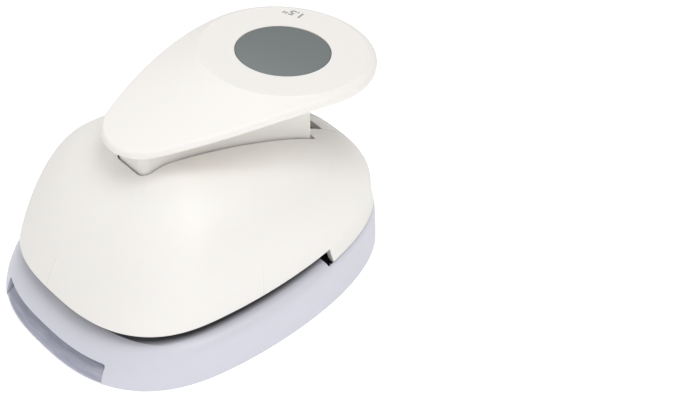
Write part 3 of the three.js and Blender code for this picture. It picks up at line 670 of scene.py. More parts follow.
class Shop:
    """Makes closed forms with bmesh operators, all in millimetres."""

    @staticmethod
    def wrapped(around: int, rows: int, place: Callable[[float, int], Point]) -> Form:
        """Wraps a grid round a closed form whose first and last rows each shrink to a point.

        Args:
            around: Faces round the form.
            rows: Number of rows of vertices.
            place: Gives a vertex its place from its turn, from 0 to 1, and its row.

        Returns:
            The closed form.
        """
        form = bmesh.new()
        bmesh.ops.create_grid(form, x_segments=around, y_segments=rows - 1, size=0.5)
        for vertex in form.verts:
            vertex.co = place(vertex.co.x + 0.5, round((vertex.co.y + 0.5) * (rows - 1)))
        Shop.merged(form)
        bmesh.ops.recalc_face_normals(form, faces=form.faces)
        return form

    @staticmethod
    def merged(form: Form) -> Form:
        """Merges a form's doubles and drops its edges without length."""
        bmesh.ops.remove_doubles(form, verts=form.verts, dist=MERGE)
        bmesh.ops.dissolve_degenerate(form, edges=form.edges, dist=MERGE)
        return form

    @staticmethod
    def box(corner: Point, opposite: Point) -> Form:
        """Makes a box.

        Args:
            corner: One of its corners.
            opposite: The corner opposite it.

        Returns:
            The box.
        """
        form = bmesh.new()
        bmesh.ops.create_cube(form, size=1.0)
        first, last = Vector(corner), Vector(opposite)
        size = Vector([abs(span) for span in last - first])
        bmesh.ops.scale(form, vec=size, verts=form.verts)
        bmesh.ops.translate(form, vec=(first + last) / 2, verts=form.verts)
        return form

    @staticmethod
    def rounded(
        form: Form, radius: float, steps: int, chosen: Callable[[bmesh.types.BMEdge], bool]
    ) -> Form:
        """Rounds some edges.

        Args:
            form: The form.
            radius: Width of the rounding.
            steps: Number of faces across it.
            chosen: Tells whether an edge is one of them.

        Returns:
            The same form.
        """
        edges = [edge for edge in form.edges if chosen(edge)]
        bmesh.ops.bevel(form, geom=edges, offset=radius, segments=steps, profile=0.5,
                        affect="EDGES", material=-1)
        return form

    @staticmethod
    def bar(start: Point, end: Point, radius: float, sides: int = 32) -> Form:
        """Makes a round bar between two points.

        Args:
            start: Middle of one end.
            end: Middle of the other end.
            radius: Its radius.
            sides: Number of faces round it.

        Returns:
            The bar.
        """
        form = bmesh.new()
        along = Vector(end) - Vector(start)
        turn = Vector((0, 0, 1)).rotation_difference(along).to_matrix().to_4x4()
        place = Matrix.Translation((Vector(start) + Vector(end)) / 2) @ turn
        bmesh.ops.create_cone(form, cap_ends=True, segments=sides, radius1=radius, radius2=radius,
                              depth=along.length, matrix=place)
        return form

    @staticmethod
    def posts(
        places: Iterable[tuple[float, float]], low: float, high: float, radius: float,
        sides: int = 24,
    ) -> list[Form]:
        """Makes an upright bar at each of some places.

        Args:
            places: X and Y of each bar.
            low: Height of their lower ends.
            high: Height of their upper ends.
            radius: Their radius.
            sides: Number of faces round each.

        Returns:
            The bars.
        """
        return [Shop.bar((x, y, low), (x, y, high), radius, sides) for x, y in places]

    @staticmethod
    def pushed(outline: Iterable[Point], along: Point) -> Form:
        """Pushes a flat outline along a vector.

        Args:
            outline: Its corners.
            along: The vector.

        Returns:
            The closed form.
        """
        form = bmesh.new()
        bmesh.ops.contextual_create(form, geom=[form.verts.new(corner) for corner in outline])
        grown = bmesh.ops.extrude_face_region(form, geom=form.faces[:])
        moved = [part for part in grown["geom"] if isinstance(part, bmesh.types.BMVert)]
        bmesh.ops.translate(form, vec=along, verts=moved)
        bmesh.ops.recalc_face_normals(form, faces=form.faces)
        return form

    @staticmethod
    def together(forms: Iterable[Form]) -> Form:
        """Puts forms that don't meet each other into one.

        Args:
            forms: The forms.

        Returns:
            One form that holds them all.
        """
        whole = bmesh.new()
        for form in forms:
            loose = bpy.data.meshes.new("loose")
            form.to_mesh(loose)
            whole.from_mesh(loose)
            bpy.data.meshes.remove(loose)
            form.free()
        return whole

    @staticmethod
    def worked(body: Form, *tools: Form, how: Cut = Cut.AWAY) -> Form:
        """Cuts, joins or trims a closed form with others, one after the other.

        Args:
            body: The form that is worked.
            tools: The other forms, which are used up.
            how: What is done with them.

        Returns:
            The worked form.
        """
        for tool in tools:
            body = Shop.worked_once(body, tool, how)
        return body

    @staticmethod
    def worked_once(body: Form, tool: Form, how: Cut) -> Form:
        """Works a closed form with a single other.

        Args:
            body: The form that is worked.
            tool: The other form, which is used up.
            how: What is done with it.

        Returns:
            The worked form.
        """
        holders = []
        for name, form in (("body", body), ("tool", tool)):
            mesh = bpy.data.meshes.new(name)
            form.to_mesh(mesh)
            form.free()
            holder = bpy.data.objects.new(name, mesh)
            bpy.context.scene.collection.objects.link(holder)
            holders.append(holder)
        cutter = holders[0].modifiers.new("cut", "BOOLEAN")
        cutter.operation = how.value
        cutter.solver = "EXACT"
        cutter.object = holders[1]
        settled = holders[0].evaluated_get(bpy.context.evaluated_depsgraph_get())
        result = bmesh.new()
        result.from_mesh(settled.to_mesh())
        settled.to_mesh_clear()
        for holder in holders:
            mesh = holder.data
            bpy.data.objects.remove(holder)
            bpy.data.meshes.remove(mesh)
        return Shop.merged(result)


@dataclass
class Piece:
    """A finished piece of the punch.

    Attributes:
        name: Its name in the scene.
        form: Its closed form, measured from the widest place of the base.
        finish: Its material.
        body: The CAD body that it rides on.
        slot: Name of a material slot; not used.
        stands_for: The CAD nodes that it replaces.
        crease: Angle in degrees above which an edge stays sharp.
    """

    name: str
    form: Form
    finish: bpy.types.Material
    body: str
    slot: str
    stands_for: tuple[str, ...] = ()
    crease: float = 32.0

    def settle(self) -> bpy.types.Object:
        """Brings the form into the frame, links it into the scene and attaches it to its body.

        Returns:
            The piece's object.
        """
        form = self.form
        bmesh.ops.translate(form, vec=(FRAME_SHIFT, 0, 0), verts=form.verts)
        bmesh.ops.scale(form, vec=(MM, MM, MM), verts=form.verts)
        for face in form.faces:
            face.smooth = True
        for edge in form.edges:
            edge.smooth = edge.calc_face_angle(0.0) < math.radians(self.crease)
        mesh = bpy.data.meshes.new(self.name)
        form.to_mesh(mesh)
        form.free()
        mesh.materials.append(self.finish)
        made = bpy.data.objects.new(self.name, mesh)
        bpy.context.scene.collection.objects.link(made)
        flat = made.modifiers.new("even_normals", "WEIGHTED_NORMAL")
        flat.keep_sharp = True
        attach(made, self.body)
        if self.stands_for:
            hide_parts(*self.stands_for)
        LOG.info("%s: %d faces", self.name, len(mesh.polygons))
        return made


@dataclass(frozen=True)
class Squareness:
    """How square each end of an egg-shaped plan is, along and across."""

    front: tuple[float, float]
    rear: tuple[float, float]


@dataclass(frozen=True)
class Reach:
    """How far an egg-shaped plan reaches from its widest place: to the front, side and rear."""

    front: float
    side: float
    rear: float

    def drawn_in(self, depth: float) -> "Reach":
        """Draws every side in by a depth."""
        return Reach(self.front - depth, self.side - depth, self.rear - depth)


def egg(turn: float, reach: Reach, squareness: Squareness) -> tuple[float, float]:
    """Finds a place on an egg-shaped plan.

    Args:
        turn: Share of a whole turn, from the rear.
        reach: The plan's reaches.
        squareness: The plan's squareness.

    Returns:
        X and Y.
    """
    along, across = math.cos(2 * math.pi * turn), math.sin(2 * math.pi * turn)
    power, side_power = squareness.front if along < 0 else squareness.rear
    length = reach.front if along < 0 else reach.rear
    return (math.copysign(length * abs(along) ** (2 / power), along),
            math.copysign(reach.side * abs(across) ** (2 / side_power), across))


POINT = Reach(0, 0, 0)
"""A plan without reach, where a form closes."""


def layered(rows: list[tuple[float, Reach]], squareness: Squareness, around: int) -> Form:
    """Makes a closed form from egg-shaped plans, one above the other.

    Args:
        rows: A height and a plan for each row. The first and last are points.
        squareness: How square the plans are.
        around: Faces round the form.

    Returns:
        The form.
    """
    def place(turn: float, row: int) -> Point:
        """Places a vertex of the form."""
        height, reach = rows[row]
        return (*egg(turn, reach, squareness), height)

    return Shop.wrapped(around, len(rows), place)


def capped(rows: list[tuple[float, Reach]]) -> list[tuple[float, Reach]]:
    """Closes rows of plans with a point at each end."""
    return [(rows[0][0], POINT), *rows, (rows[-1][0], POINT)]


@dataclass
class BaseShell:
    """The grey base: a rolled-over rim round a flat deck, hollow underneath.

    Its deck ends at the seam with the dome, behind which it is an open room with bosses.
    """

    reach: Reach = Reach(40.6, 42.0, 70.0)
    squareness: Squareness = Squareness((2.66, 2.6), (1.84, 2.74))
    wall: float = 2.2
    deck: float = 12.6
    deck_end: float = 35.1
    throat_end: float = 37.5
    notch: float = 3.0
    notch_skin: float = 0.6
    ceiling: float = 8.0
    shelf: float = 2.0
    seam: float = 12.0
    gap: float = 0.3
    front_roll: float = 13.0
    side_roll: float = 3.0
    side_lean: float = 1.2
    front_power: float = 1.6
    side_power: float = 12.0
    window_half: float = 24.4
    window_top: float = 6.1
    window_rear: float = -20.3
    window_corner: float = 0.9
    rim_ease: float = 0.5
    around: int = 320
    roll_rows: int = 34
    overrun: float = 5.0
    pocket: tuple[Point, Point] = ((-25.3, -27.3, 10.55), (33.8, 27.3, 17.6))
    pocket_corner: float = 8.0
    die_axis: float = 6.0
    chip_hole: float = 21.05
    boss: float = 3.3
    screw_hole: float = 1.6
    rivet_hole: float = 2.9
    screws: tuple[tuple[float, float], ...] = (
        (44.0, 25.0), (44.0, -25.0), (60.5, 7.0), (60.5, -7.0))
    die_screws: tuple[tuple[float, float], ...] = (
        (-17.0, 23.0), (-17.0, -23.0), (29.5, 23.0), (29.5, -23.0))
    rivets: tuple[tuple[float, float], ...] = ((31.0, -13.0), (31.0, 0.0), (31.0, 13.0))
    hinge: tuple[float, float] = (61.5, 5.0)
    hinge_hole: float = 1.8
    lug: float = 2.6
    lug_span: tuple[float, float] = (14.9, 17.9)
    past: Point = (80.0, 50.0, 30.0)

    def rolled(self, height: float) -> Reach:
        """Finds the plan's reaches at a height.

        Args:
            height: Height above the table.

        Returns:
            The reaches.
        """
        level = min(max(height / self.deck, 0.0), 1.0)
        roll = [1 - math.sqrt(max(0.0, 1 - level ** power))
                for power in (self.front_power, self.side_power)]
        lean = self.side_lean * (level * self.deck / self.seam) ** 2
        return Reach(self.reach.front - self.front_roll * roll[0],
                     self.reach.side - lean - self.side_roll * roll[1], self.reach.rear)

    def heights(self) -> list[float]:
        """Lists the heights of the rows on the outside, close together where it rolls over."""
        shares = [1 - (1 - row / self.roll_rows) ** 2.2 for row in range(self.roll_rows + 1)]
        return [self.deck * math.sin(share * math.pi / 2) ** (2 / self.front_power)
                for share in shares]

    def solid(
        self, depth: float = 0.0, low: float = 0.0, high: float | None = None, ease: float = 0.0
    ) -> Form:
        """Makes the closed form inside the outside surface.

        Args:
            depth: How far it is drawn in.
            low: Height of its underside.
            high: Height of its top, if it isn't the deck.
            ease: Radius of its lower edge.

        Returns:
            The form.
        """
        high = self.deck if high is None else high
        rows = [(height, self.rolled(height).drawn_in(depth))
                for height in (low, *(h for h in self.heights() if low < h < high), high)]
        if ease:
            first = rows[0][1]
            rows[0:1] = [(low + ease * (1 - math.cos(a)), first.drawn_in(ease * (1 - math.sin(a))))
                         for a in (0.0, math.pi / 6, math.pi / 3, math.pi / 2)]
        return layered(capped(rows), self.squareness, self.around)

    def behind(self, depth: float, low: float, end: float) -> Form:
        """Makes the part of the form inside the outside surface that lies behind the deck.

        Args:
            depth: How far it is drawn in.
            low: Height of its underside.
            end: Where it ends along X.

        Returns:
            The form.
        """
        return Shop.worked(self.solid(depth, low, self.deck + self.overrun),
                           Shop.box((self.deck_end, -self.past[1], 0), (end, *self.past[1:])),
                           how=Cut.WITHIN)

    def cut_outs(self, seam_top: float) -> list[Form]:
        """Makes what is cut from the base: its hollow, room, notch, pocket, chip hole and window.

        Args:
            seam_top: Height at which the base ends under the dome.

        Returns:
            The forms, in the order in which they are cut.
        """
        pocket = Shop.rounded(Shop.box(*self.pocket), self.pocket_corner, 6,
                              lambda edge: abs(edge.verts[0].co.z - edge.verts[1].co.z) > 1)
        window = Shop.box((-CLEAR, -self.window_half, -CLEAR),
                          (self.window_rear, self.window_half, self.window_top))
        window = Shop.rounded(window, self.window_corner, 4, lambda edge: (
            min(vertex.co.z for vertex in edge.verts) > 0
            and abs(edge.verts[0].co.y - edge.verts[1].co.y) < 1))
        return [
            self.solid(self.wall, -self.overrun, self.ceiling),
            Shop.box((self.deck_end, -self.past[1], seam_top), self.past),
            self.behind(self.wall, self.ceiling + self.shelf, self.past[0]),
            self.behind(self.notch_skin, seam_top - self.notch, self.throat_end),
            pocket,
            *Shop.posts([(self.die_axis, 0)], -CLEAR, CLEAR, self.chip_hole, 96),
            window,
        ]

    def hinge_lug(self, side: int) -> Form:
        """Makes one of the lugs that the tray's pins turn in.

        Args:
            side: 1 or -1.

        Returns:
            The lug.
        """
        (x, z), (near, far) = self.hinge, (side * y for y in self.lug_span)
        return Shop.worked(
            Shop.bar((x, near, z), (x, far, z), self.lug, 40),
            Shop.box((x - self.lug, near, z), (x + self.lug, far, self.ceiling + 0.05)),
            how=Cut.ONTO)

    def make(self) -> Form:
        """Builds the shell with its window, pocket, holes, bosses and hinge lugs.

        Returns:
            The closed form.
        """
        seam_top = self.seam - self.gap / 2
        shell = Shop.worked(self.solid(ease=self.rim_ease), *self.cut_outs(seam_top))
        bosses = Shop.together(Shop.posts(self.screws, self.ceiling, seam_top, self.boss, 32))
        shell = Shop.worked(shell, bosses, self.hinge_lug(1), self.hinge_lug(-1), how=Cut.ONTO)
        x, z = self.hinge
        past = self.lug_span[1] + self.gap
        return Shop.worked(shell, Shop.together([
            *Shop.posts((*self.screws, *self.die_screws), -CLEAR, CLEAR, self.screw_hole),
            *Shop.posts(self.rivets, -CLEAR, CLEAR, self.rivet_hole),
            Shop.bar((x, -past, z), (x, past, z), self.hinge_hole),
        ]))


@dataclass
class ChipTray:
    """The see-through tray that closes the base underneath and fills its front window."""

    base: BaseShell = field(default_factory=BaseShell)
    lift: float = 0.4
    floor: float = 1.5
    wall: float = 1.2
    top: float = 6.4
    side_gap: float = 0.4
    rear: float = 64.0
    tail: float = 57.7
    scoop: float = 4.3
    scoop_shares: tuple[tuple[float, float], ...] = (
        (0.0, 0.06), (0.06, 0.065), (0.12, 0.1), (0.2, 0.19), (0.3, 0.32), (0.4, 0.46), (0.5, 0.6),
        (0.62, 0.73), (0.75, 0.85), (0.88, 0.94), (1.0, 1.0))
    foot_ease: float = 0.4
    top_ease: float = 0.2
    floor_ease: float = 0.5
    heel: float = 1.3
    knuckle_radius: float = 2.1
    knuckle_span: tuple[float, float] = (12.0, 14.6)
    arm: float = 0.6
    arm_low: float = 1.15
    pin_radius: float = 1.5
    pin_end: float = 17.9

    def ring(self, depth: float) -> Reach:
        """Finds the tray's plan, drawn in by a depth."""
        lean = self.base.side_lean * (self.top / self.base.seam) ** 2
        front, side = self.base.rolled(self.top).front, self.base.reach.side - lean
        return Reach(front, side, self.rear).drawn_in(depth)

    def stacked(self, rows: list[tuple[float, Reach]]) -> Form:
        """Makes a closed form from rows of a height and a plan, the lowest first."""
        return layered(capped(rows), self.base.squareness, self.base.around)

    def knuckle(self, side: int) -> Form:
        """Makes one hinge knuckle with its pin.

        Args:
            side: 1 or -1.

        Returns:
            The knuckle.
        """
        x, z = self.base.hinge
        near, far = (side * y for y in self.knuckle_span)
        front = self.tail - self.arm
        outline = [(front, self.arm_low), (self.tail, self.arm_low), (x, z - self.knuckle_radius),
                   (x, z + self.knuckle_radius / 2), (front, self.top)]
        return Shop.worked(
            Shop.pushed([(along, near, height) for along, height in outline], (0, far - near, 0)),
            Shop.bar((x, near, z), (x, far, z), self.knuckle_radius, 36),
            Shop.bar((x, near + side * 0.5, z), (x, side * self.pin_end, z), self.pin_radius),
            how=Cut.ONTO)

    def lip(self) -> Form:
        """Makes the hollow-faced lip that fills the base's front window.

        Returns:
            The lip.
        """
        rise = self.base.window_top - self.side_gap - self.lift
        rows = [(self.lift + up * rise, self.base.rolled(0).drawn_in(share * self.scoop))
                for up, share in self.scoop_shares]
        half = self.base.window_half - self.side_gap
        return Shop.worked(self.stacked(rows), Shop.box(
            (-CLEAR, -half, 0), (self.base.window_rear, half, self.top)), how=Cut.WITHIN)

    @staticmethod
    def past(start: float) -> Form:
        """Makes a block that holds all that lies behind a place along X."""
        return Shop.box((start, -CLEAR, -CLEAR), (CLEAR, CLEAR, CLEAR))

    def make(self) -> Form:
        """Builds the tray.

        Returns:
            The closed form.
        """
        outer, floor_top = self.base.wall + self.side_gap, self.lift + self.floor
        inner, ease, soft = outer + self.wall, self.foot_ease, self.foot_ease * 0.3
        cup = self.stacked([
            (self.lift, self.ring(outer + ease)), (self.lift + soft, self.ring(outer + soft)),
            (self.lift + ease, self.ring(outer)), (self.top - self.top_ease, self.ring(outer)),
            (self.top, self.ring(outer + self.top_ease))])
        hollow = self.stacked([
            (floor_top, self.ring(inner + self.floor_ease)),
            (floor_top + self.floor_ease, self.ring(inner)),
            (self.top + self.base.overrun, self.ring(inner))])
        hollow = Shop.worked(hollow, self.past(self.tail - self.wall))
        heel = Shop.box((-5, -CLEAR, -10), (5, CLEAR, 0))
        bmesh.ops.rotate(
            heel, verts=heel.verts, matrix=Matrix.Rotation(math.radians(-45), 3, "Y"))
        bmesh.ops.translate(
            heel, vec=(self.tail - self.heel / 2, 0, self.lift + self.heel / 2), verts=heel.verts)
        body = Shop.worked(cup, self.lip(), how=Cut.ONTO)
        body = Shop.worked(body, hollow, self.past(self.tail), heel)
        return Shop.worked(body, self.knuckle(1), self.knuckle(-1), how=Cut.ONTO)


@dataclass
class UpperHousing:
    """The off-white dome with its slot for the lever and its notch over the paper throat."""

    base: BaseShell = field(default_factory=BaseShell)
    reach: Reach = Reach(34.85, 37.6, 70.0)
    squareness: Squareness = Squareness((2.94, 2.6), (1.84, 2.74))
    top: float = 49.2
    wall: float = 2.4
    lip: float = 15.85
    throat_end: float = 37.5
    flare: float = 2.2
    flare_power: float = 1.5
    front_close: tuple[float, float] = (1.14, 1.73)
    side_close: tuple[float, float] = (2.69, 3.55)
    rear_close: tuple[float, float] = (2.3, 1.35)
    foot_ease: float = 0.3
    around: int = 336
    dome_rows: int = 58
    inner_rows: int = 40
    skirt_rows: int = 8
    groove: float = 0.15
    seam_half: float = 0.4
    seam_depth: float = 0.8
    tail_half: float = 5.2
    body_front: float = 7.0
    body_rear: float = 47.9
    body_half: tuple[float, float] = (7.0, 10.6)
    body_corner: float = 3.0
    slot_gap: float = 0.5
    slot_rear_gap: float = 1.5
    slot_tail: float = 7.2
    slot_low: float = 30.0
    tail_low: float = 25.0
    groove_end: float = 65.0
    pin: tuple[float, float] = (-12.0, 35.0)
    pin_hole: float = 2.3
    pin_half: float = 16.8
    bearing_span: tuple[float, float] = (10.0, 16.5)
    bearing_reach: tuple[float, float] = (4.0, 8.5)
    guide_screws: tuple[tuple[float, float], ...] = (
        (-17.0, 24.0), (-17.0, -24.0), (31.0, 24.0), (31.0, -24.0))
    guide_top: float = 16.25
    guide_hole_top: float = 24.2
    screw_hole_top: float = 22.0
    cap_screw: tuple[float, float] = (5.2, 13.25)
    cap_hole: tuple[float, float] = (20.0, 39.0)

    def closing(self, height: float, depth: float) -> Reach:
        """Finds the dome's plan at a height.

        Args:
            height: Height above the table.
            depth: How far the dome is drawn in.

        Returns:
            The reaches.
        """
        rise = min(1.0, max(0.0, (height - self.lip) / (self.top - depth - self.lip)))
        below = max(0.0, (self.lip - height) / (self.lip - self.base.seam))
        flare = self.flare * below ** self.flare_power
        inner = self.reach.drawn_in(depth)
        shares = [max(0.0, 1 - rise ** power) ** (1 / root)
                  for power, root in (self.front_close, self.side_close, self.rear_close)]
        return Reach(inner.front * shares[0] + flare, inner.side * shares[1] + flare,
                     inner.rear * shares[2])

    def stack(self, depth: float, low: float, rows: int) -> list[tuple[float, Reach]]:
        """Lists a dome's rows from its lower edge to its top.

        Args:
            depth: How far the dome is drawn in.
            low: Height of its lower edge.
            rows: Number of rows above the lip.

        Returns:
            A height and a plan for each row.
        """
        top = self.top - depth
        skirt = [low + (self.lip - low) * step / self.skirt_rows for step in range(self.skirt_rows)]
        heights = [self.lip + (top - self.lip) * (1 - (1 - row / rows) ** 3)
                   for row in range(rows + 1)]
        return [(height, self.closing(height, depth)) for height in (*skirt, *heights)]

    def solid(self, depth: float, low: float) -> Form:
        """Makes the solid dome inside the outer surface.

        Args:
            depth: How far it is drawn in.
            low: Height of its underside.

        Returns:
            The dome.
        """
        rows = capped(self.stack(depth, low, self.inner_rows))
        return layered(rows, self.squareness, self.around)

    def shell(self, low: float) -> Form:
        """Makes the thin dome, open underneath, as one closed skin.

        Args:
            low: Height of its lower edge.

        Returns:
            The skin.
        """
        outer = self.stack(0.0, low, self.dome_rows)
        inner = self.stack(self.wall, low, self.inner_rows)
        foot = [(low, outer[0][1].drawn_in(self.foot_ease)), (low + self.foot_ease, outer[0][1])]
        rows = [(inner[-1][0], POINT), *reversed(inner[:-1]), *foot, *outer[1:-1],
                (outer[-1][0], POINT)]
        return layered(rows, self.squareness, self.around)

    def plan(self, growth: float, rear: float, steps: int = 10) -> list[tuple[float, float]]:
        """Lists the corners of the lever body's plan.

        Args:
            growth: How much it is let out.
            rear: Its rear end.
            steps: Faces round each front corner.

        Returns:
            X and Y of each corner.
        """
        slope = (self.body_half[1] - self.body_half[0]) / (self.body_front + self.body_rear)
        corner = self.body_corner + growth
        centre = self.body_corner - self.body_front
        half = self.body_half[0] + growth + slope * (centre + self.body_front)
        turns = [math.pi / 2 * step / steps for step in range(steps + 1)]
        side = [(centre - corner * math.cos(turn), half - corner + corner * math.sin(turn))
                for turn in turns]
        side.append((rear, self.body_half[0] + growth + slope * (rear + self.body_front)))
        return [(x, -y) for x, y in side] + [(x, y) for x, y in reversed(side)]

    def body_prism(self, growth: float, rear_gap: float, low: float, high: float) -> Form:
        """Makes an upright block with the plan of the lever's body.

        Args:
            growth: How much it is let out.
            rear_gap: How far it reaches past the body's rear.
            low: Height of its underside.
            high: Height of its top.

        Returns:
            The block.
        """
        plan = self.plan(growth, self.body_rear + rear_gap)
        return Shop.pushed([(x, y, low) for x, y in plan], (0, 0, high - low))

    def strip(self, rear: float, middle: float, half: float) -> Form:
        """Makes a block over the strip behind the slot.

        Args:
            rear: Where it starts along X.
            middle: Its middle across.
            half: Half its width.

        Returns:
            The block.
        """
        return Shop.box((rear, middle - half, self.base.seam),
                        (self.groove_end, middle + half, CLEAR))

    def fittings(self, low: float) -> Form:
        """Makes the screw bosses and pin bearings inside the dome.

        Args:
            low: Height of the dome's lower edge.

        Returns:
            The fittings, trimmed to the middle of the dome's wall.
        """
        x, z = self.pin
        near, far = self.bearing_span
        return Shop.worked(
            Shop.together([
                *Shop.posts(self.guide_screws, self.guide_top, CLEAR, self.base.boss, 32),
                *Shop.posts(self.base.screws, low, CLEAR, self.base.boss, 32),
                *(Shop.box((x - self.bearing_reach[0], near * side, z),
                           (x + self.bearing_reach[1], far * side, CLEAR)) for side in (1, -1)),
            ]),
            self.solid(self.wall / 2, low - 1), how=Cut.WITHIN)

    def make(self) -> Form:
        """Builds the housing with its throat, slot, groove, bosses and bearings.

        Returns:
            The closed form.
        """
        low = self.base.seam + self.base.gap / 2
        rear, half = self.body_rear + self.slot_rear_gap, self.tail_half
        slot = Shop.worked(
            self.body_prism(self.slot_gap, self.slot_rear_gap, self.slot_low, CLEAR),
            Shop.box((self.body_rear, -half, self.tail_low),
                     (rear + self.slot_tail, half, CLEAR - 1)), how=Cut.ONTO)
        groove = Shop.worked(self.strip(rear, 0, half), self.solid(self.groove, low))
        seams = Shop.together(self.strip(rear, side * half, self.seam_half) for side in (-1, 1))
        x, z = self.pin
        holes = Shop.together([
            *Shop.posts(self.guide_screws, 0, self.guide_hole_top, self.base.screw_hole),
            *Shop.posts(self.base.screws, 0, self.screw_hole_top, self.base.screw_hole),
            *Shop.posts([(x + self.cap_screw[0], side * self.cap_screw[1]) for side in (1, -1)],
                        *self.cap_hole, self.base.screw_hole),
        ])
        seat = Shop.bar((x, -self.pin_half, z), (x, self.pin_half, z), self.pin_hole, 40)
        dome = Shop.worked(self.shell(low), self.fittings(low), how=Cut.ONTO)
        return Shop.worked(
            dome, Shop.box((-CLEAR, -CLEAR, 0), (self.throat_end, CLEAR, self.lip)), slot, groove,
            Shop.worked(seams, self.solid(self.seam_depth, low)), holes, seat)


@dataclass
class LeverShell:
    """The lever's teardrop top: a tilted round pad and a cone that falls away from it."""

    centre: tuple[float, float] = (46.6, 62.9)
    tilt: float = 0.085
    pad: float = 24.3
    round_reach: float = 26.9
    nose: float = 13.9
    nose_reach: float = 58.7
    side: float = 125.0
    fall: float = 0.305
    wall: float = 1.6
    edge: float = 0.9
    rim: float = 2.2
    disc: float = 13.65
    disc_depth: float = 0.9
    crease: float = 0.3
    crease_dip: float = 0.09
    around: int = 300
    rib_shares: tuple[int, ...] = (-2, -1, 0, 1, 2)
    rib_spacing: float = 8.0
    rib_height: float = 0.9
    rib_half: float = 0.6
    rib_root: float = 0.3
    wells: tuple[float, float] = (16.058, 38.567)
    boss: float = 2.7
    boss_length: float = 6.7
    screw_hole: float = 1.6
    hole_skin: float = 0.3
    foot: tuple[float, float] = (0.1, 0.35)
    gap: float = 0.2

    def lifted(self, along: float, across: float, rise: float) -> Point:
        """Turns a place on the pad into a place on the punch.

        Args:
            along: Distance from the pad's centre to the rear.
            across: Distance from the middle plane.
            rise: Height above the pad's plane.

        Returns:
            The place.
        """
        cosine, sine = math.cos(self.tilt), math.sin(self.tilt)
        return (self.centre[0] + along * cosine + rise * sine, across,
                self.centre[1] - along * sine + rise * cosine)

    def reach(self, angle: float) -> float:
        """Finds the distance from the pad's centre to the outline.

        Args:
            angle: Direction, from the rear.

        Returns:
            The distance.
        """
        nose_x = self.nose - self.nose_reach
        to_pad, to_nose = self.side - self.round_reach, self.side - self.nose
        side_x = (to_pad ** 2 - to_nose ** 2 + nose_x ** 2) / (2 * nose_x)
        side_y = -math.sqrt(to_pad ** 2 - side_x ** 2)
        toward = (math.cos(angle), abs(math.sin(angle)))

        def before(x: float, y: float) -> bool:
            """Tells whether the direction comes before that of a place."""
            return toward[0] * y - toward[1] * x > 0

        def to_round(x: float, y: float, radius: float) -> float:
            """Finds the distance to the far side of a circle."""
            middle = toward[0] * x + toward[1] * y
            return middle + math.sqrt(max(0.0, middle ** 2 - x ** 2 - y ** 2 + radius ** 2))

        narrow = self.nose / to_nose
        if before(-side_x, -side_y):
            return self.round_reach
        if before(nose_x + (nose_x - side_x) * narrow, -side_y * narrow):
            return to_round(side_x, side_y, self.side)
        return to_round(nose_x, 0.0, self.nose)

    def surface(self, angle: float, distance: float, depth: float) -> Point:
        """Places a vertex below the top surface.

        Args:
            angle: Direction from the pad's centre.
            distance: Distance from the pad's centre.
            depth: Depth below the surface.

        Returns:
            The place.
        """
        past = distance - self.pad
        if past <= self.crease:
            past = max(0.0, past + self.crease) ** 2 / (4 * self.crease)
        return self.lifted(distance * math.cos(angle), distance * math.sin(angle),
                           -self.fall * past - depth)

    def formed(self, rows: list[Callable[[float], Point]]) -> Form:
        """Makes a closed form from rows that each give a place for a direction.

        Args:
            rows: The rows.

        Returns:
            The form.
        """
        def place(turn: float, row: int) -> Point:
            """Places a vertex of the form."""
            even = 2 * math.pi * turn
            return rows[row](even + 0.5 * math.sin(even))

        return Shop.wrapped(self.around, len(rows), place)

    def top_rows(self, depth: float, bottom: float, steps: int) -> list[Callable[[float], Point]]:
        """Lists the rows from the pad's centre to the lower edge of the rim.

        Args:
            depth: Thickness that the form is drawn in by.
            bottom: Depth of the lower edge.
            steps: Number of faces across the rounded edge.

        Returns:
            The rows.
        """
        edge = max(self.edge - depth, self.edge / 4)

        def flat(distance: float, dip: float = 0.0) -> Callable[[float], Point]:
            """Gives a row on the pad."""
            return lambda angle: self.surface(angle, distance, depth + dip)

        def slope(share: float) -> Callable[[float], Point]:
            """Gives a row between the pad and the edge."""
            start = self.pad - depth / 2 + self.crease
            return lambda angle: self.surface(
                angle, start + share * (self.reach(angle) - depth - edge - start), depth)

        def arc(turn: float) -> Callable[[float], Point]:
            """Gives a row on the rounded edge."""
            inset, drop = depth + edge * (1 - math.sin(turn)), depth + edge * (1 - math.cos(turn))
            return lambda angle: self.surface(angle, self.reach(angle) - inset, drop)

        def wall(low: float) -> Callable[[float], Point]:
            """Gives a row on the rim."""
            return lambda angle: self.surface(angle, self.reach(angle) - depth, low)

        start = self.pad - depth / 2
        rows: list[Callable[[float], Point]] = [lambda angle: self.lifted(0.0, 0.0, -depth)]
        rows += [flat(start * share) for share in (0.1, 0.25, 0.45, 0.62, 0.8, 0.92)]
        rows += [flat(start + self.crease * share, 0.0 if share or depth else self.crease_dip)
                 for share in (-1.0, -0.5, 0.0, 0.5)]
        rows += [slope(share) for share in (0.0, 0.15, 0.3, 0.45, 0.6, 0.75, 0.88)]
        rows += [arc(math.pi / 2 * step / steps) for step in range(steps + 1)]
        rows += [wall(depth + edge + (bottom - depth - edge) * share)
                 for share in (0.33, 0.66, 1.0)]
        return rows

    def ribs(self) -> Form:
        """Makes the ribs under the pad, which leave room for the lever's body.

        Returns:
            The ribs.
        """
        place = (Matrix.Translation((self.centre[0], 0, self.centre[1]))
                 @ Matrix.Rotation(self.tilt, 4, "Y"))
        ribs = []
        for share in self.rib_shares:
            along = share * self.rib_spacing
            half = math.sqrt((self.round_reach - self.wall / 2) ** 2 - along ** 2)
            rib = Shop.box((along - self.rib_half, -half, -self.wall - self.rib_height),
                           (along + self.rib_half, half, self.rib_root - self.wall))
            bmesh.ops.transform(rib, matrix=place, verts=rib.verts)
            ribs.append(rib)
        return Shop.worked(Shop.together(ribs), UpperHousing().body_prism(
            self.rib_half, self.rib_half, 0, CLEAR))

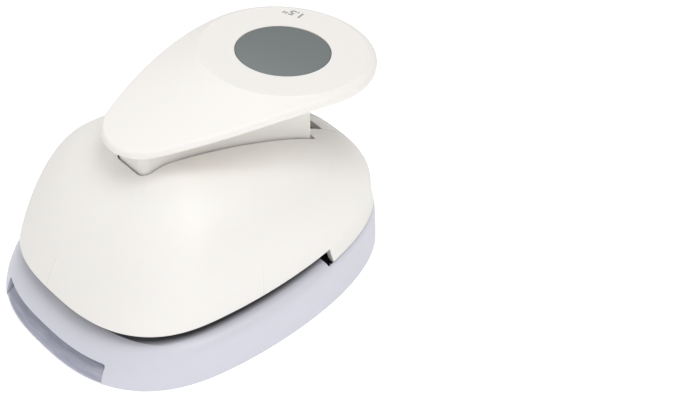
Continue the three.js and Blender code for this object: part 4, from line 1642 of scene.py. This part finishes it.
    def make(self) -> Form:
        """Builds the shell with its disc recess, ribs and screw bosses.

        Returns:
            The closed form.
        """
        outer = self.top_rows(0.0, self.rim - self.foot[1], 6)
        lower = [lambda angle, i=i, d=d: self.surface(angle, self.reach(angle) - i, d)
                 for i, d in ((self.foot[0], self.rim - self.foot[0]), (self.foot[1], self.rim),
                              (self.wall - self.gap, self.rim))]
        inner = list(reversed(self.top_rows(self.wall, self.rim - self.gap, 3)))
        bosses, holes = [], []
        for x in self.wells:
            past = max(0.0, abs(x - self.centre[0]) - self.pad)
            under = (self.centre[1] - (x - self.centre[0]) * math.tan(self.tilt)
                     - self.fall * past - self.wall)
            bosses += Shop.posts([(x, 0)], under - self.boss_length, under + self.wall / 2,
                                 self.boss, 32)
            holes += Shop.posts([(x, 0)], 0, under - self.hole_skin, self.screw_hole)
        shell = Shop.worked(self.formed([*outer, *lower, *inner]), self.ribs(),
                            Shop.together(bosses), how=Cut.ONTO)
        start, end = self.lifted(0, 0, -self.disc_depth - self.gap), self.lifted(0, 0, 4.0)
        return Shop.worked(shell, Shop.together(holes),
                           Shop.bar(start, end, self.disc + self.gap, 144))


@dataclass
class SizeMark:
    """The cut's size, printed beside the pad as plain numerals.

    Attributes:
        lever: The lever whose pad it lies on.
        text: What it says.
        height: Height of the numerals.
        place: Distance from the pad's centre and direction from the rear in degrees.
        turn: Turn of the text about the pad's axis in degrees.
        thickness: Half the thickness of the ink.
        boldness: How much each stroke is let out.
        font_share: Size of the font beside the numerals' height.
    """

    lever: LeverShell = field(default_factory=LeverShell)
    text: str = "1.5″"
    height: float = 2.9
    place: tuple[float, float] = (21.7, 43.8)
    turn: float = 110.0
    thickness: float = 0.03
    boldness: float = 0.085
    font_share: float = 1.38

    def make(self) -> Form:
        """Builds the numerals as a thin skin of ink on the pad.

        Returns:
            The numerals.
        """
        curve = bpy.data.curves.new("mark", "FONT")
        curve.body = self.text
        curve.size = self.height * self.font_share
        curve.align_x, curve.align_y = "CENTER", "CENTER"
        curve.extrude = self.thickness
        curve.resolution_u = 6
        curve.offset = self.boldness
        holder = bpy.data.objects.new("mark", curve)
        bpy.context.scene.collection.objects.link(holder)
        settled = holder.evaluated_get(bpy.context.evaluated_depsgraph_get())
        form = bmesh.new()
        form.from_mesh(settled.to_mesh())
        settled.to_mesh_clear()
        bpy.data.objects.remove(holder)
        bpy.data.curves.remove(curve)
        bmesh.ops.remove_doubles(form, verts=form.verts, dist=MERGE)
        distance, angle = self.place[0], math.radians(self.place[1])
        spot = self.lever.lifted(
            distance * math.cos(angle), distance * math.sin(angle), self.thickness / 2)
        place = (Matrix.Translation(spot) @ Matrix.Rotation(self.lever.tilt, 4, "Y")
                 @ Matrix.Rotation(math.radians(self.turn), 4, "Z"))
        bmesh.ops.transform(form, matrix=place, verts=form.verts)
        return form


Finish = MouldedPlastic | ClearPlastic | WorkedSteel | PrintedInk


@cache
def material(finish: Finish) -> bpy.types.Material:
    """Makes a finish's material the first time and gives the same one after that."""
    return finish.make()


@dataclass
class Metalwork:
    """Dresses the CAD's solids: the die set, the mechanism, the lever's body and the disc.

    Attributes:
        finishes: The punch's finishes.
        ease: Width of the rounding on their edges.
        bent: Angle in degrees above which an edge is rounded.
        steep: Angle in degrees above which an edge stays sharp.
        soft: The node group that smooths their faces, once it is made.
    """

    finishes: Finishes
    ease: float = 0.14
    bent: float = 32.0
    steep: float = 28.0
    soft: bpy.types.NodeTree | None = None

    def shading(self) -> bpy.types.NodeTree:
        """Makes the node group that smooths faces and keeps sharp edges.

        Returns:
            The group.
        """
        if self.soft is None:
            group = bpy.data.node_groups.new("soft_faces", "GeometryNodeTree")
            for way in ("INPUT", "OUTPUT"):
                group.interface.new_socket(
                    "Geometry", in_out=way, socket_type="NodeSocketGeometry")
            start, end = group.nodes.new("NodeGroupInput"), group.nodes.new("NodeGroupOutput")
            smooth = group.nodes.new("GeometryNodeSetShadeSmooth")
            smooth.domain = "FACE"
            sharp = group.nodes.new("GeometryNodeSetShadeSmooth")
            sharp.domain = "EDGE"
            sharp.inputs["Shade Smooth"].default_value = False
            angle = group.nodes.new("GeometryNodeInputMeshEdgeAngle")
            steep = group.nodes.new("FunctionNodeCompare")
            steep.data_type, steep.operation = "FLOAT", "GREATER_THAN"
            steep.inputs[1].default_value = math.radians(self.steep)
            for source, target in (
                (start.outputs[0], smooth.inputs[0]), (smooth.outputs[0], sharp.inputs[0]),
                (angle.outputs[0], steep.inputs[0]), (steep.outputs[0], sharp.inputs["Selection"]),
                (sharp.outputs[0], end.inputs[0]),
            ):
                group.links.new(source, target)
            self.soft = group
        return self.soft

    def dress(self, node: str, finish: bpy.types.Material, ease: float) -> None:
        """Gives one CAD solid its finish and soft edges.

        Args:
            node: The CAD node.
            finish: Its material.
            ease: Width of the rounding.
        """
        solid = frame["nodes"][node]
        for slot in solid.material_slots:
            slot.link = "OBJECT"
            slot.material = finish
        weld = solid.modifiers.new("weld", "WELD")
        weld.merge_threshold = 0.001 * MM
        bevel = solid.modifiers.new("ease", "BEVEL")
        bevel.limit_method, bevel.angle_limit = "ANGLE", math.radians(self.bent)
        bevel.width, bevel.segments = ease * MM, 2
        shading = solid.modifiers.new("shading", "NODES")
        shading.node_group = self.shading()
        LOG.info("%s: dressed", node)

    def make(self) -> None:
        """Dresses every solid that no finished piece replaces."""
        use = self.finishes
        # The throat spacer takes the near-black steel as painted shade for the notch.
        kinds = {
            "die_plate": use.plate, "guide_plate": use.plate, "throat_spacer": use.black,
            "punch_cutter": use.bright, "plate_rivet": use.bright, "press_block": use.inner,
            "pin_cap": use.inner, "guide_post": use.drawn, "hinge_pin": use.drawn,
            "post_clip": use.wire, "lever_body": use.white, "size_disc": use.disc,
        }
        eases = {"lever_body": 0.3, "size_disc": 0.1}
        for node in sorted(frame["nodes"]):
            if not frame["nodes"][node].hide_render:
                finish = next(kinds[kind] for kind in kinds if node.startswith(kind))
                self.dress(node, material(finish), eases.get(node, self.ease))


@dataclass
class Studio:
    """The pale floor, the soft lights and the camera.

    Attributes:
        focal: Focal length in millimetres for a 36 mm wide sensor.
        azimuth: Camera's direction from the punch in degrees.
        pitch: Camera's height angle in degrees.
        distance: Camera's distance from its target.
        target: What it looks at, measured from the widest place of the base.
        floor_half: Half the floor's width in metres.
        glow: How strongly the floor glows, as the photograph's blown-out background does.
        daylight: Strength of the light from all round.
        lamps: Name, place and width in metres and power in watts of each soft square lamp.
    """

    focal: float = 116.47
    azimuth: float = -38.6427
    pitch: float = 38.0415
    distance: float = 668.795
    target: Point = (64.387, -3.637, 0.0)
    floor_half: float = 6.0
    glow: float = 0.32
    daylight: float = 0.24
    lamps: tuple[tuple[str, Point, float, float], ...] = (
        ("key", (0.1, -0.4, 1.2), 0.7, 6.25),
        ("back", (0.1, 0.6, 1.1), 0.7, 2.95),
        ("side", (-0.7, 0.25, 1.0), 0.7, 2.65),
        ("near", (-0.1, -0.85, 0.85), 0.7, 2.2),
        ("front", (-0.6, -0.9, 0.4), 0.6, 1.1),
    )

    def floor(self) -> None:
        """Lays the floor, which is not part of the punch."""
        form = bmesh.new()
        bmesh.ops.create_grid(form, x_segments=1, y_segments=1, size=self.floor_half)
        mesh = bpy.data.meshes.new("floor")
        form.to_mesh(mesh)
        form.free()
        recipe = Recipe("floor_paper")
        fibre = recipe.noise(1.2, detail=4.0)
        mesh.materials.append(recipe.feed(
            Base_Color=recipe.mix(fibre, (0.93, 0.93, 0.93), (0.95, 0.95, 0.95)),
            Roughness=0.75, Emission_Color=(1.0, 1.0, 1.0, 1.0), Emission_Strength=self.glow))
        floor = bpy.data.objects.new("floor", mesh)
        bpy.context.scene.collection.objects.link(floor)

    @staticmethod
    def stand(name: str, data: bpy.types.ID, place: Vector, aim: Vector) -> bpy.types.Object:
        """Stands a lamp or the camera at a place.

        Args:
            name: Its name.
            data: The lamp or camera.
            place: Its place in metres.
            aim: The direction that it faces.

        Returns:
            Its object.
        """
        holder = bpy.data.objects.new(name, data)
        holder.location = place
        holder.rotation_euler = aim.to_track_quat("-Z", "Y").to_euler()
        bpy.context.scene.collection.objects.link(holder)
        return holder

    def light(self) -> None:
        """Hangs the lamps, which all face the punch, and sets the light from all round."""
        for name, place, size, power in self.lamps:
            lamp = bpy.data.lights.new(name, "AREA")
            lamp.size, lamp.energy = size, power
            self.stand(name, lamp, Vector(place), Vector((0, 0, 0.02)) - Vector(place))
        world = bpy.data.worlds.new("studio")
        world.use_nodes = True
        sky = world.node_tree.nodes["Background"]
        sky.inputs["Color"].default_value = (1.0, 1.0, 1.0, 1.0)
        sky.inputs["Strength"].default_value = self.daylight
        bpy.context.scene.world = world

    def camera(self) -> None:
        """Sets up the camera at the photograph's viewing angle."""
        lens = bpy.data.cameras.new("camera")
        lens.lens, lens.sensor_width, lens.sensor_fit = self.focal, 36.0, "HORIZONTAL"
        lens.clip_start, lens.clip_end = 0.01, 50.0
        turn, pitch = math.radians(self.azimuth), math.radians(self.pitch)
        back = Vector((math.cos(pitch) * math.sin(turn), -math.cos(pitch) * math.cos(turn),
                       math.sin(pitch)))
        target = Vector((self.target[0] + FRAME_SHIFT, self.target[1], self.target[2])) * MM
        place = target + back * self.distance * MM
        bpy.context.scene.camera = self.stand("camera", lens, place, -back)

    def make(self) -> None:
        """Sets up the whole studio."""
        bpy.context.scene.view_settings.view_transform = "Standard"
        self.floor()
        self.light()
        self.camera()


@dataclass
class Screw:
    """A thread-forming screw with a cross recess, in the place of the CAD's plain one.

    Attributes:
        node: The CAD node that it stands for.
        pitch: Height of one turn of its thread.
        root: Radius at the bottom of the thread, as a share of the shank's.
        crest: Radius at the top of the thread, as a share of the shank's.
        point: Length of its tapered end.
        tip: Share of the radius that the end tapers to.
        edge: Rounding of a domed head.
        flat_edge: Rounding of a flat head.
        domed: The least and greatest height of a domed head.
        neck: Length without a thread under the head.
        recess: Width and depth of the cross in its head.
        arm: Length of the cross's arms, as a share of the head's radius.
        narrowed: Shares that an arm's length and width narrow to at the cross's bottom.
        around: Faces round it.
        turn_rows: Rows of faces in one turn of the thread.
    """

    node: str
    pitch: float = 0.9
    root: float = 0.76
    crest: float = 0.985
    point: float = 1.1
    tip: float = 0.35
    edge: float = 0.45
    flat_edge: float = 0.12
    domed: tuple[float, float] = (1.0, 1.9)
    neck: float = 0.15
    recess: tuple[float, float] = (0.62, 0.95)
    arm: float = 0.58
    narrowed: tuple[float, float] = (0.62, 0.85)
    around: int = 36
    turn_rows: int = 6

    def measured(self) -> tuple[Vector, float, float, float, float]:
        """Measures the CAD's solid.

        Returns:
            The middle of its lower end, its length, its head's radius and height and its
            shank's radius.
        """
        places = [vertex.co / MM for vertex in frame["nodes"][self.node].data.vertices]
        low, high = min(v.z for v in places), max(v.z for v in places)
        ends = [[v for v in places if abs(v.z - level) < 0.01] for level in (low, high)]
        foot = sum((Vector((v.x, v.y, 0)) for v in ends[1]), Vector()) / len(ends[1])
        head, shank = (max(math.hypot(v.x - foot.x, v.y - foot.y) for v in end) for end in ends)
        wide = [v.z - low for v in places if math.hypot(v.x - foot.x, v.y - foot.y) > shank * 1.3]
        thin = min(v.z - low for v in places if v.z - low > 0.02)
        head_height = max(*wide, min(thin, 3.0))
        return Vector((foot.x - FRAME_SHIFT, foot.y, low)), high - low, head, head_height, shank

    def cross(self, foot: Vector, head: float) -> Form:
        """Makes the form that cuts the cross recess.

        Args:
            foot: Middle of the head's outer face.
            head: Radius of the head.

        Returns:
            The form.
        """
        width, depth = self.recess
        long, short = head * self.arm, width / 2
        arms = []
        for x, y in ((long, short), (short, long)):
            arm = Shop.box((foot.x - x, foot.y - y, foot.z - 1),
                           (foot.x + x, foot.y + y, foot.z + depth))
            by_length, by_width = self.narrowed
            share_x, share_y = (by_length, by_width) if x > y else (by_width, by_length)
            for vertex in arm.verts:
                if vertex.co.z > foot.z:
                    vertex.co.x = foot.x + (vertex.co.x - foot.x) * share_x
                    vertex.co.y = foot.y + (vertex.co.y - foot.y) * share_y
            arms.append(arm)
        return Shop.worked(*arms, how=Cut.ONTO)

    def make(self) -> Form:
        """Builds the screw, head down.

        Returns:
            The closed form.
        """
        foot, length, head, head_height, shank = self.measured()
        flat = not self.domed[0] <= head_height <= self.domed[1]
        ease = self.flat_edge if flat else self.edge
        profile = [(0.0, 0.0), (head - 2 * ease, 0.0)]
        profile += [(head - ease * (1 - math.sin(turn)), ease * (1 - math.cos(turn)))
                    for turn in (math.pi / 8 * step for step in range(5))]
        profile += [(shank * 1.02 if flat else head, head_height), (shank * 0.98, head_height)]
        first, step = head_height + self.neck, self.pitch / self.turn_rows
        count = int((length - first - 0.02) / step)
        rows = len(profile) + count + 2

        def place(turn: float, row: int) -> Point:
            """Places a vertex of the screw.

            Args:
                turn: Share of a turn round the screw.
                row: The row: those of the head, then those of the thread, then the tip.

            Returns:
                The place.
            """
            angle = 2 * math.pi * turn
            if row < len(profile):
                radius, height = profile[row]
            elif row == rows - 1:
                radius, height = 0.0, length
            else:
                height = first + step * (row - len(profile))
                way = (height / self.pitch + turn) % 1.0
                tooth = max(0.0, 1 - abs(way - 0.5) * 3.2)
                radius = shank * (self.root + (self.crest - self.root) * tooth)
                taper = (length - height) / self.point
                radius *= min(1.0, self.tip + (1 - self.tip) * taper)
            return (foot.x + radius * math.cos(angle), foot.y + radius * math.sin(angle),
                    foot.z + height)

        return Shop.worked(Shop.wrapped(self.around, rows, place), self.cross(foot, head))


@dataclass
class CoilSpring:
    """A return spring with closed and ground end coils; the real one shortens as the lever is
    pressed.

    Attributes:
        node: The CAD node that it stands for.
        wire: Thickness of the wire.
        turns: Number of turns.
        travel: How far its upper end goes down.
        slack: How much more it shortens, so that it never touches.
        ground: Share of the wire that is ground off at each end.
        steps: Rows of faces in one turn.
        around: Faces round the wire.
    """

    node: str
    wire: float = 0.8
    turns: float = 7.5
    travel: float = 5.0265
    slack: float = 0.02
    ground: float = 0.22
    steps: int = 30
    around: int = 14

    def make(self, low: Point, high: Point) -> Form:
        """Builds the spring inside a box.

        Args:
            low: Lowest corner of the box.
            high: Highest corner of the box.

        Returns:
            The closed form.
        """
        middle = [(a + b) / 2 for a, b in zip(low, high)]
        radius = (high[0] - low[0] - self.wire) / 2
        grind = self.wire * self.ground
        foot, head = low[2] + grind, high[2] - grind
        pitch = (head - foot - 2 * self.wire) / (self.turns - 2)
        rows = int(self.turns * self.steps) + 1

        def place(turn: float, row: int) -> Point:
            """Places a vertex of the wire.

            Args:
                turn: Share of a turn round the wire.
                row: The row along the wire.

            Returns:
                The place.
            """
            made = self.turns * row / (rows - 1)
            climb = (foot + self.wire * min(made, 1.0)
                     + pitch * min(max(made - 1.0, 0.0), self.turns - 2)
                     + self.wire * max(0.0, made - self.turns + 1))
            thick = 0.0 if row in (0, rows - 1) else self.wire / 2
            angle, around = 2 * math.pi * made, 2 * math.pi * turn
            out = radius + thick * math.cos(around)
            level = min(max(climb + thick * math.sin(around), low[2]), high[2])
            return middle[0] + out * math.cos(angle), middle[1] + out * math.sin(angle), level

        return Shop.wrapped(self.around, rows, place)

    def settle(self, finish: bpy.types.Material) -> None:
        """Brings the spring into the frame and gives it a mesh of its own.

        Args:
            finish: Its material.
        """
        low, high = ([value / MM for value in corner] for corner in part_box(self.node))
        low[0], high[0] = low[0] - FRAME_SHIFT, high[0] - FRAME_SHIFT
        made = Piece(f"{self.node}_wound", self.make(low, high), finish, "punch_body",
                     "spring_steel", (self.node,), 60.0).settle()
        anchor = ((low[0] + high[0]) / 2 + FRAME_SHIFT, (low[1] + high[1]) / 2, low[2])
        tuple(value * MM for value in anchor)
        1 - (self.travel + self.slack) / (high[2] - low[2])
        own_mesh(made)


def build_pieces(finishes: Finishes) -> None:
    """Builds the pieces that stand for the outer mouldings, the springs and the screws.

    Args:
        finishes: The punch's finishes.
    """
    pieces = (
        ("base", BaseShell, finishes.base, "punch_body", "base_plastic", "base_shell"),
        ("tray", ChipTray, finishes.tray, "tray", "tray_plastic", "chip_tray"),
        ("housing", UpperHousing, finishes.housing, "punch_body", "white_plastic", "upper_housing"),
        ("lever_top", LeverShell, finishes.white, "lever", "white_plastic", "lever_shell"),
    )
    for name, kind, finish, body, slot, node in pieces:
        Piece(name, kind().make(), material(finish), body, slot, (node,)).settle()
    Piece("size_mark", SizeMark().make(), material(finishes.ink), "lever", "disc_plastic").settle()
    for side in ("left", "right"):
        CoilSpring(f"return_spring_{side}").settle(material(finishes.wire))
    riders = {"lever_screw": "lever", "cutter_screw": "plunger"}
    for node in sorted(node for node in frame["nodes"] if "screw" in node):
        body = riders.get(node[:-2], "punch_body")
        Piece(f"{node}_turned", Screw(node).make(), material(finishes.bright), body, "bright_steel",
              (node,), 40.0).settle()


def main() -> None:
    """Builds the punch's looks, its finishes and the studio."""
    logging.basicConfig(level=logging.INFO, format="%(name)s: %(message)s", stream=sys.stdout)
    finishes = Finishes()
    build_pieces(finishes)
    Metalwork(finishes).make()
    Studio().make()


if __name__ == "__main__":
    main()
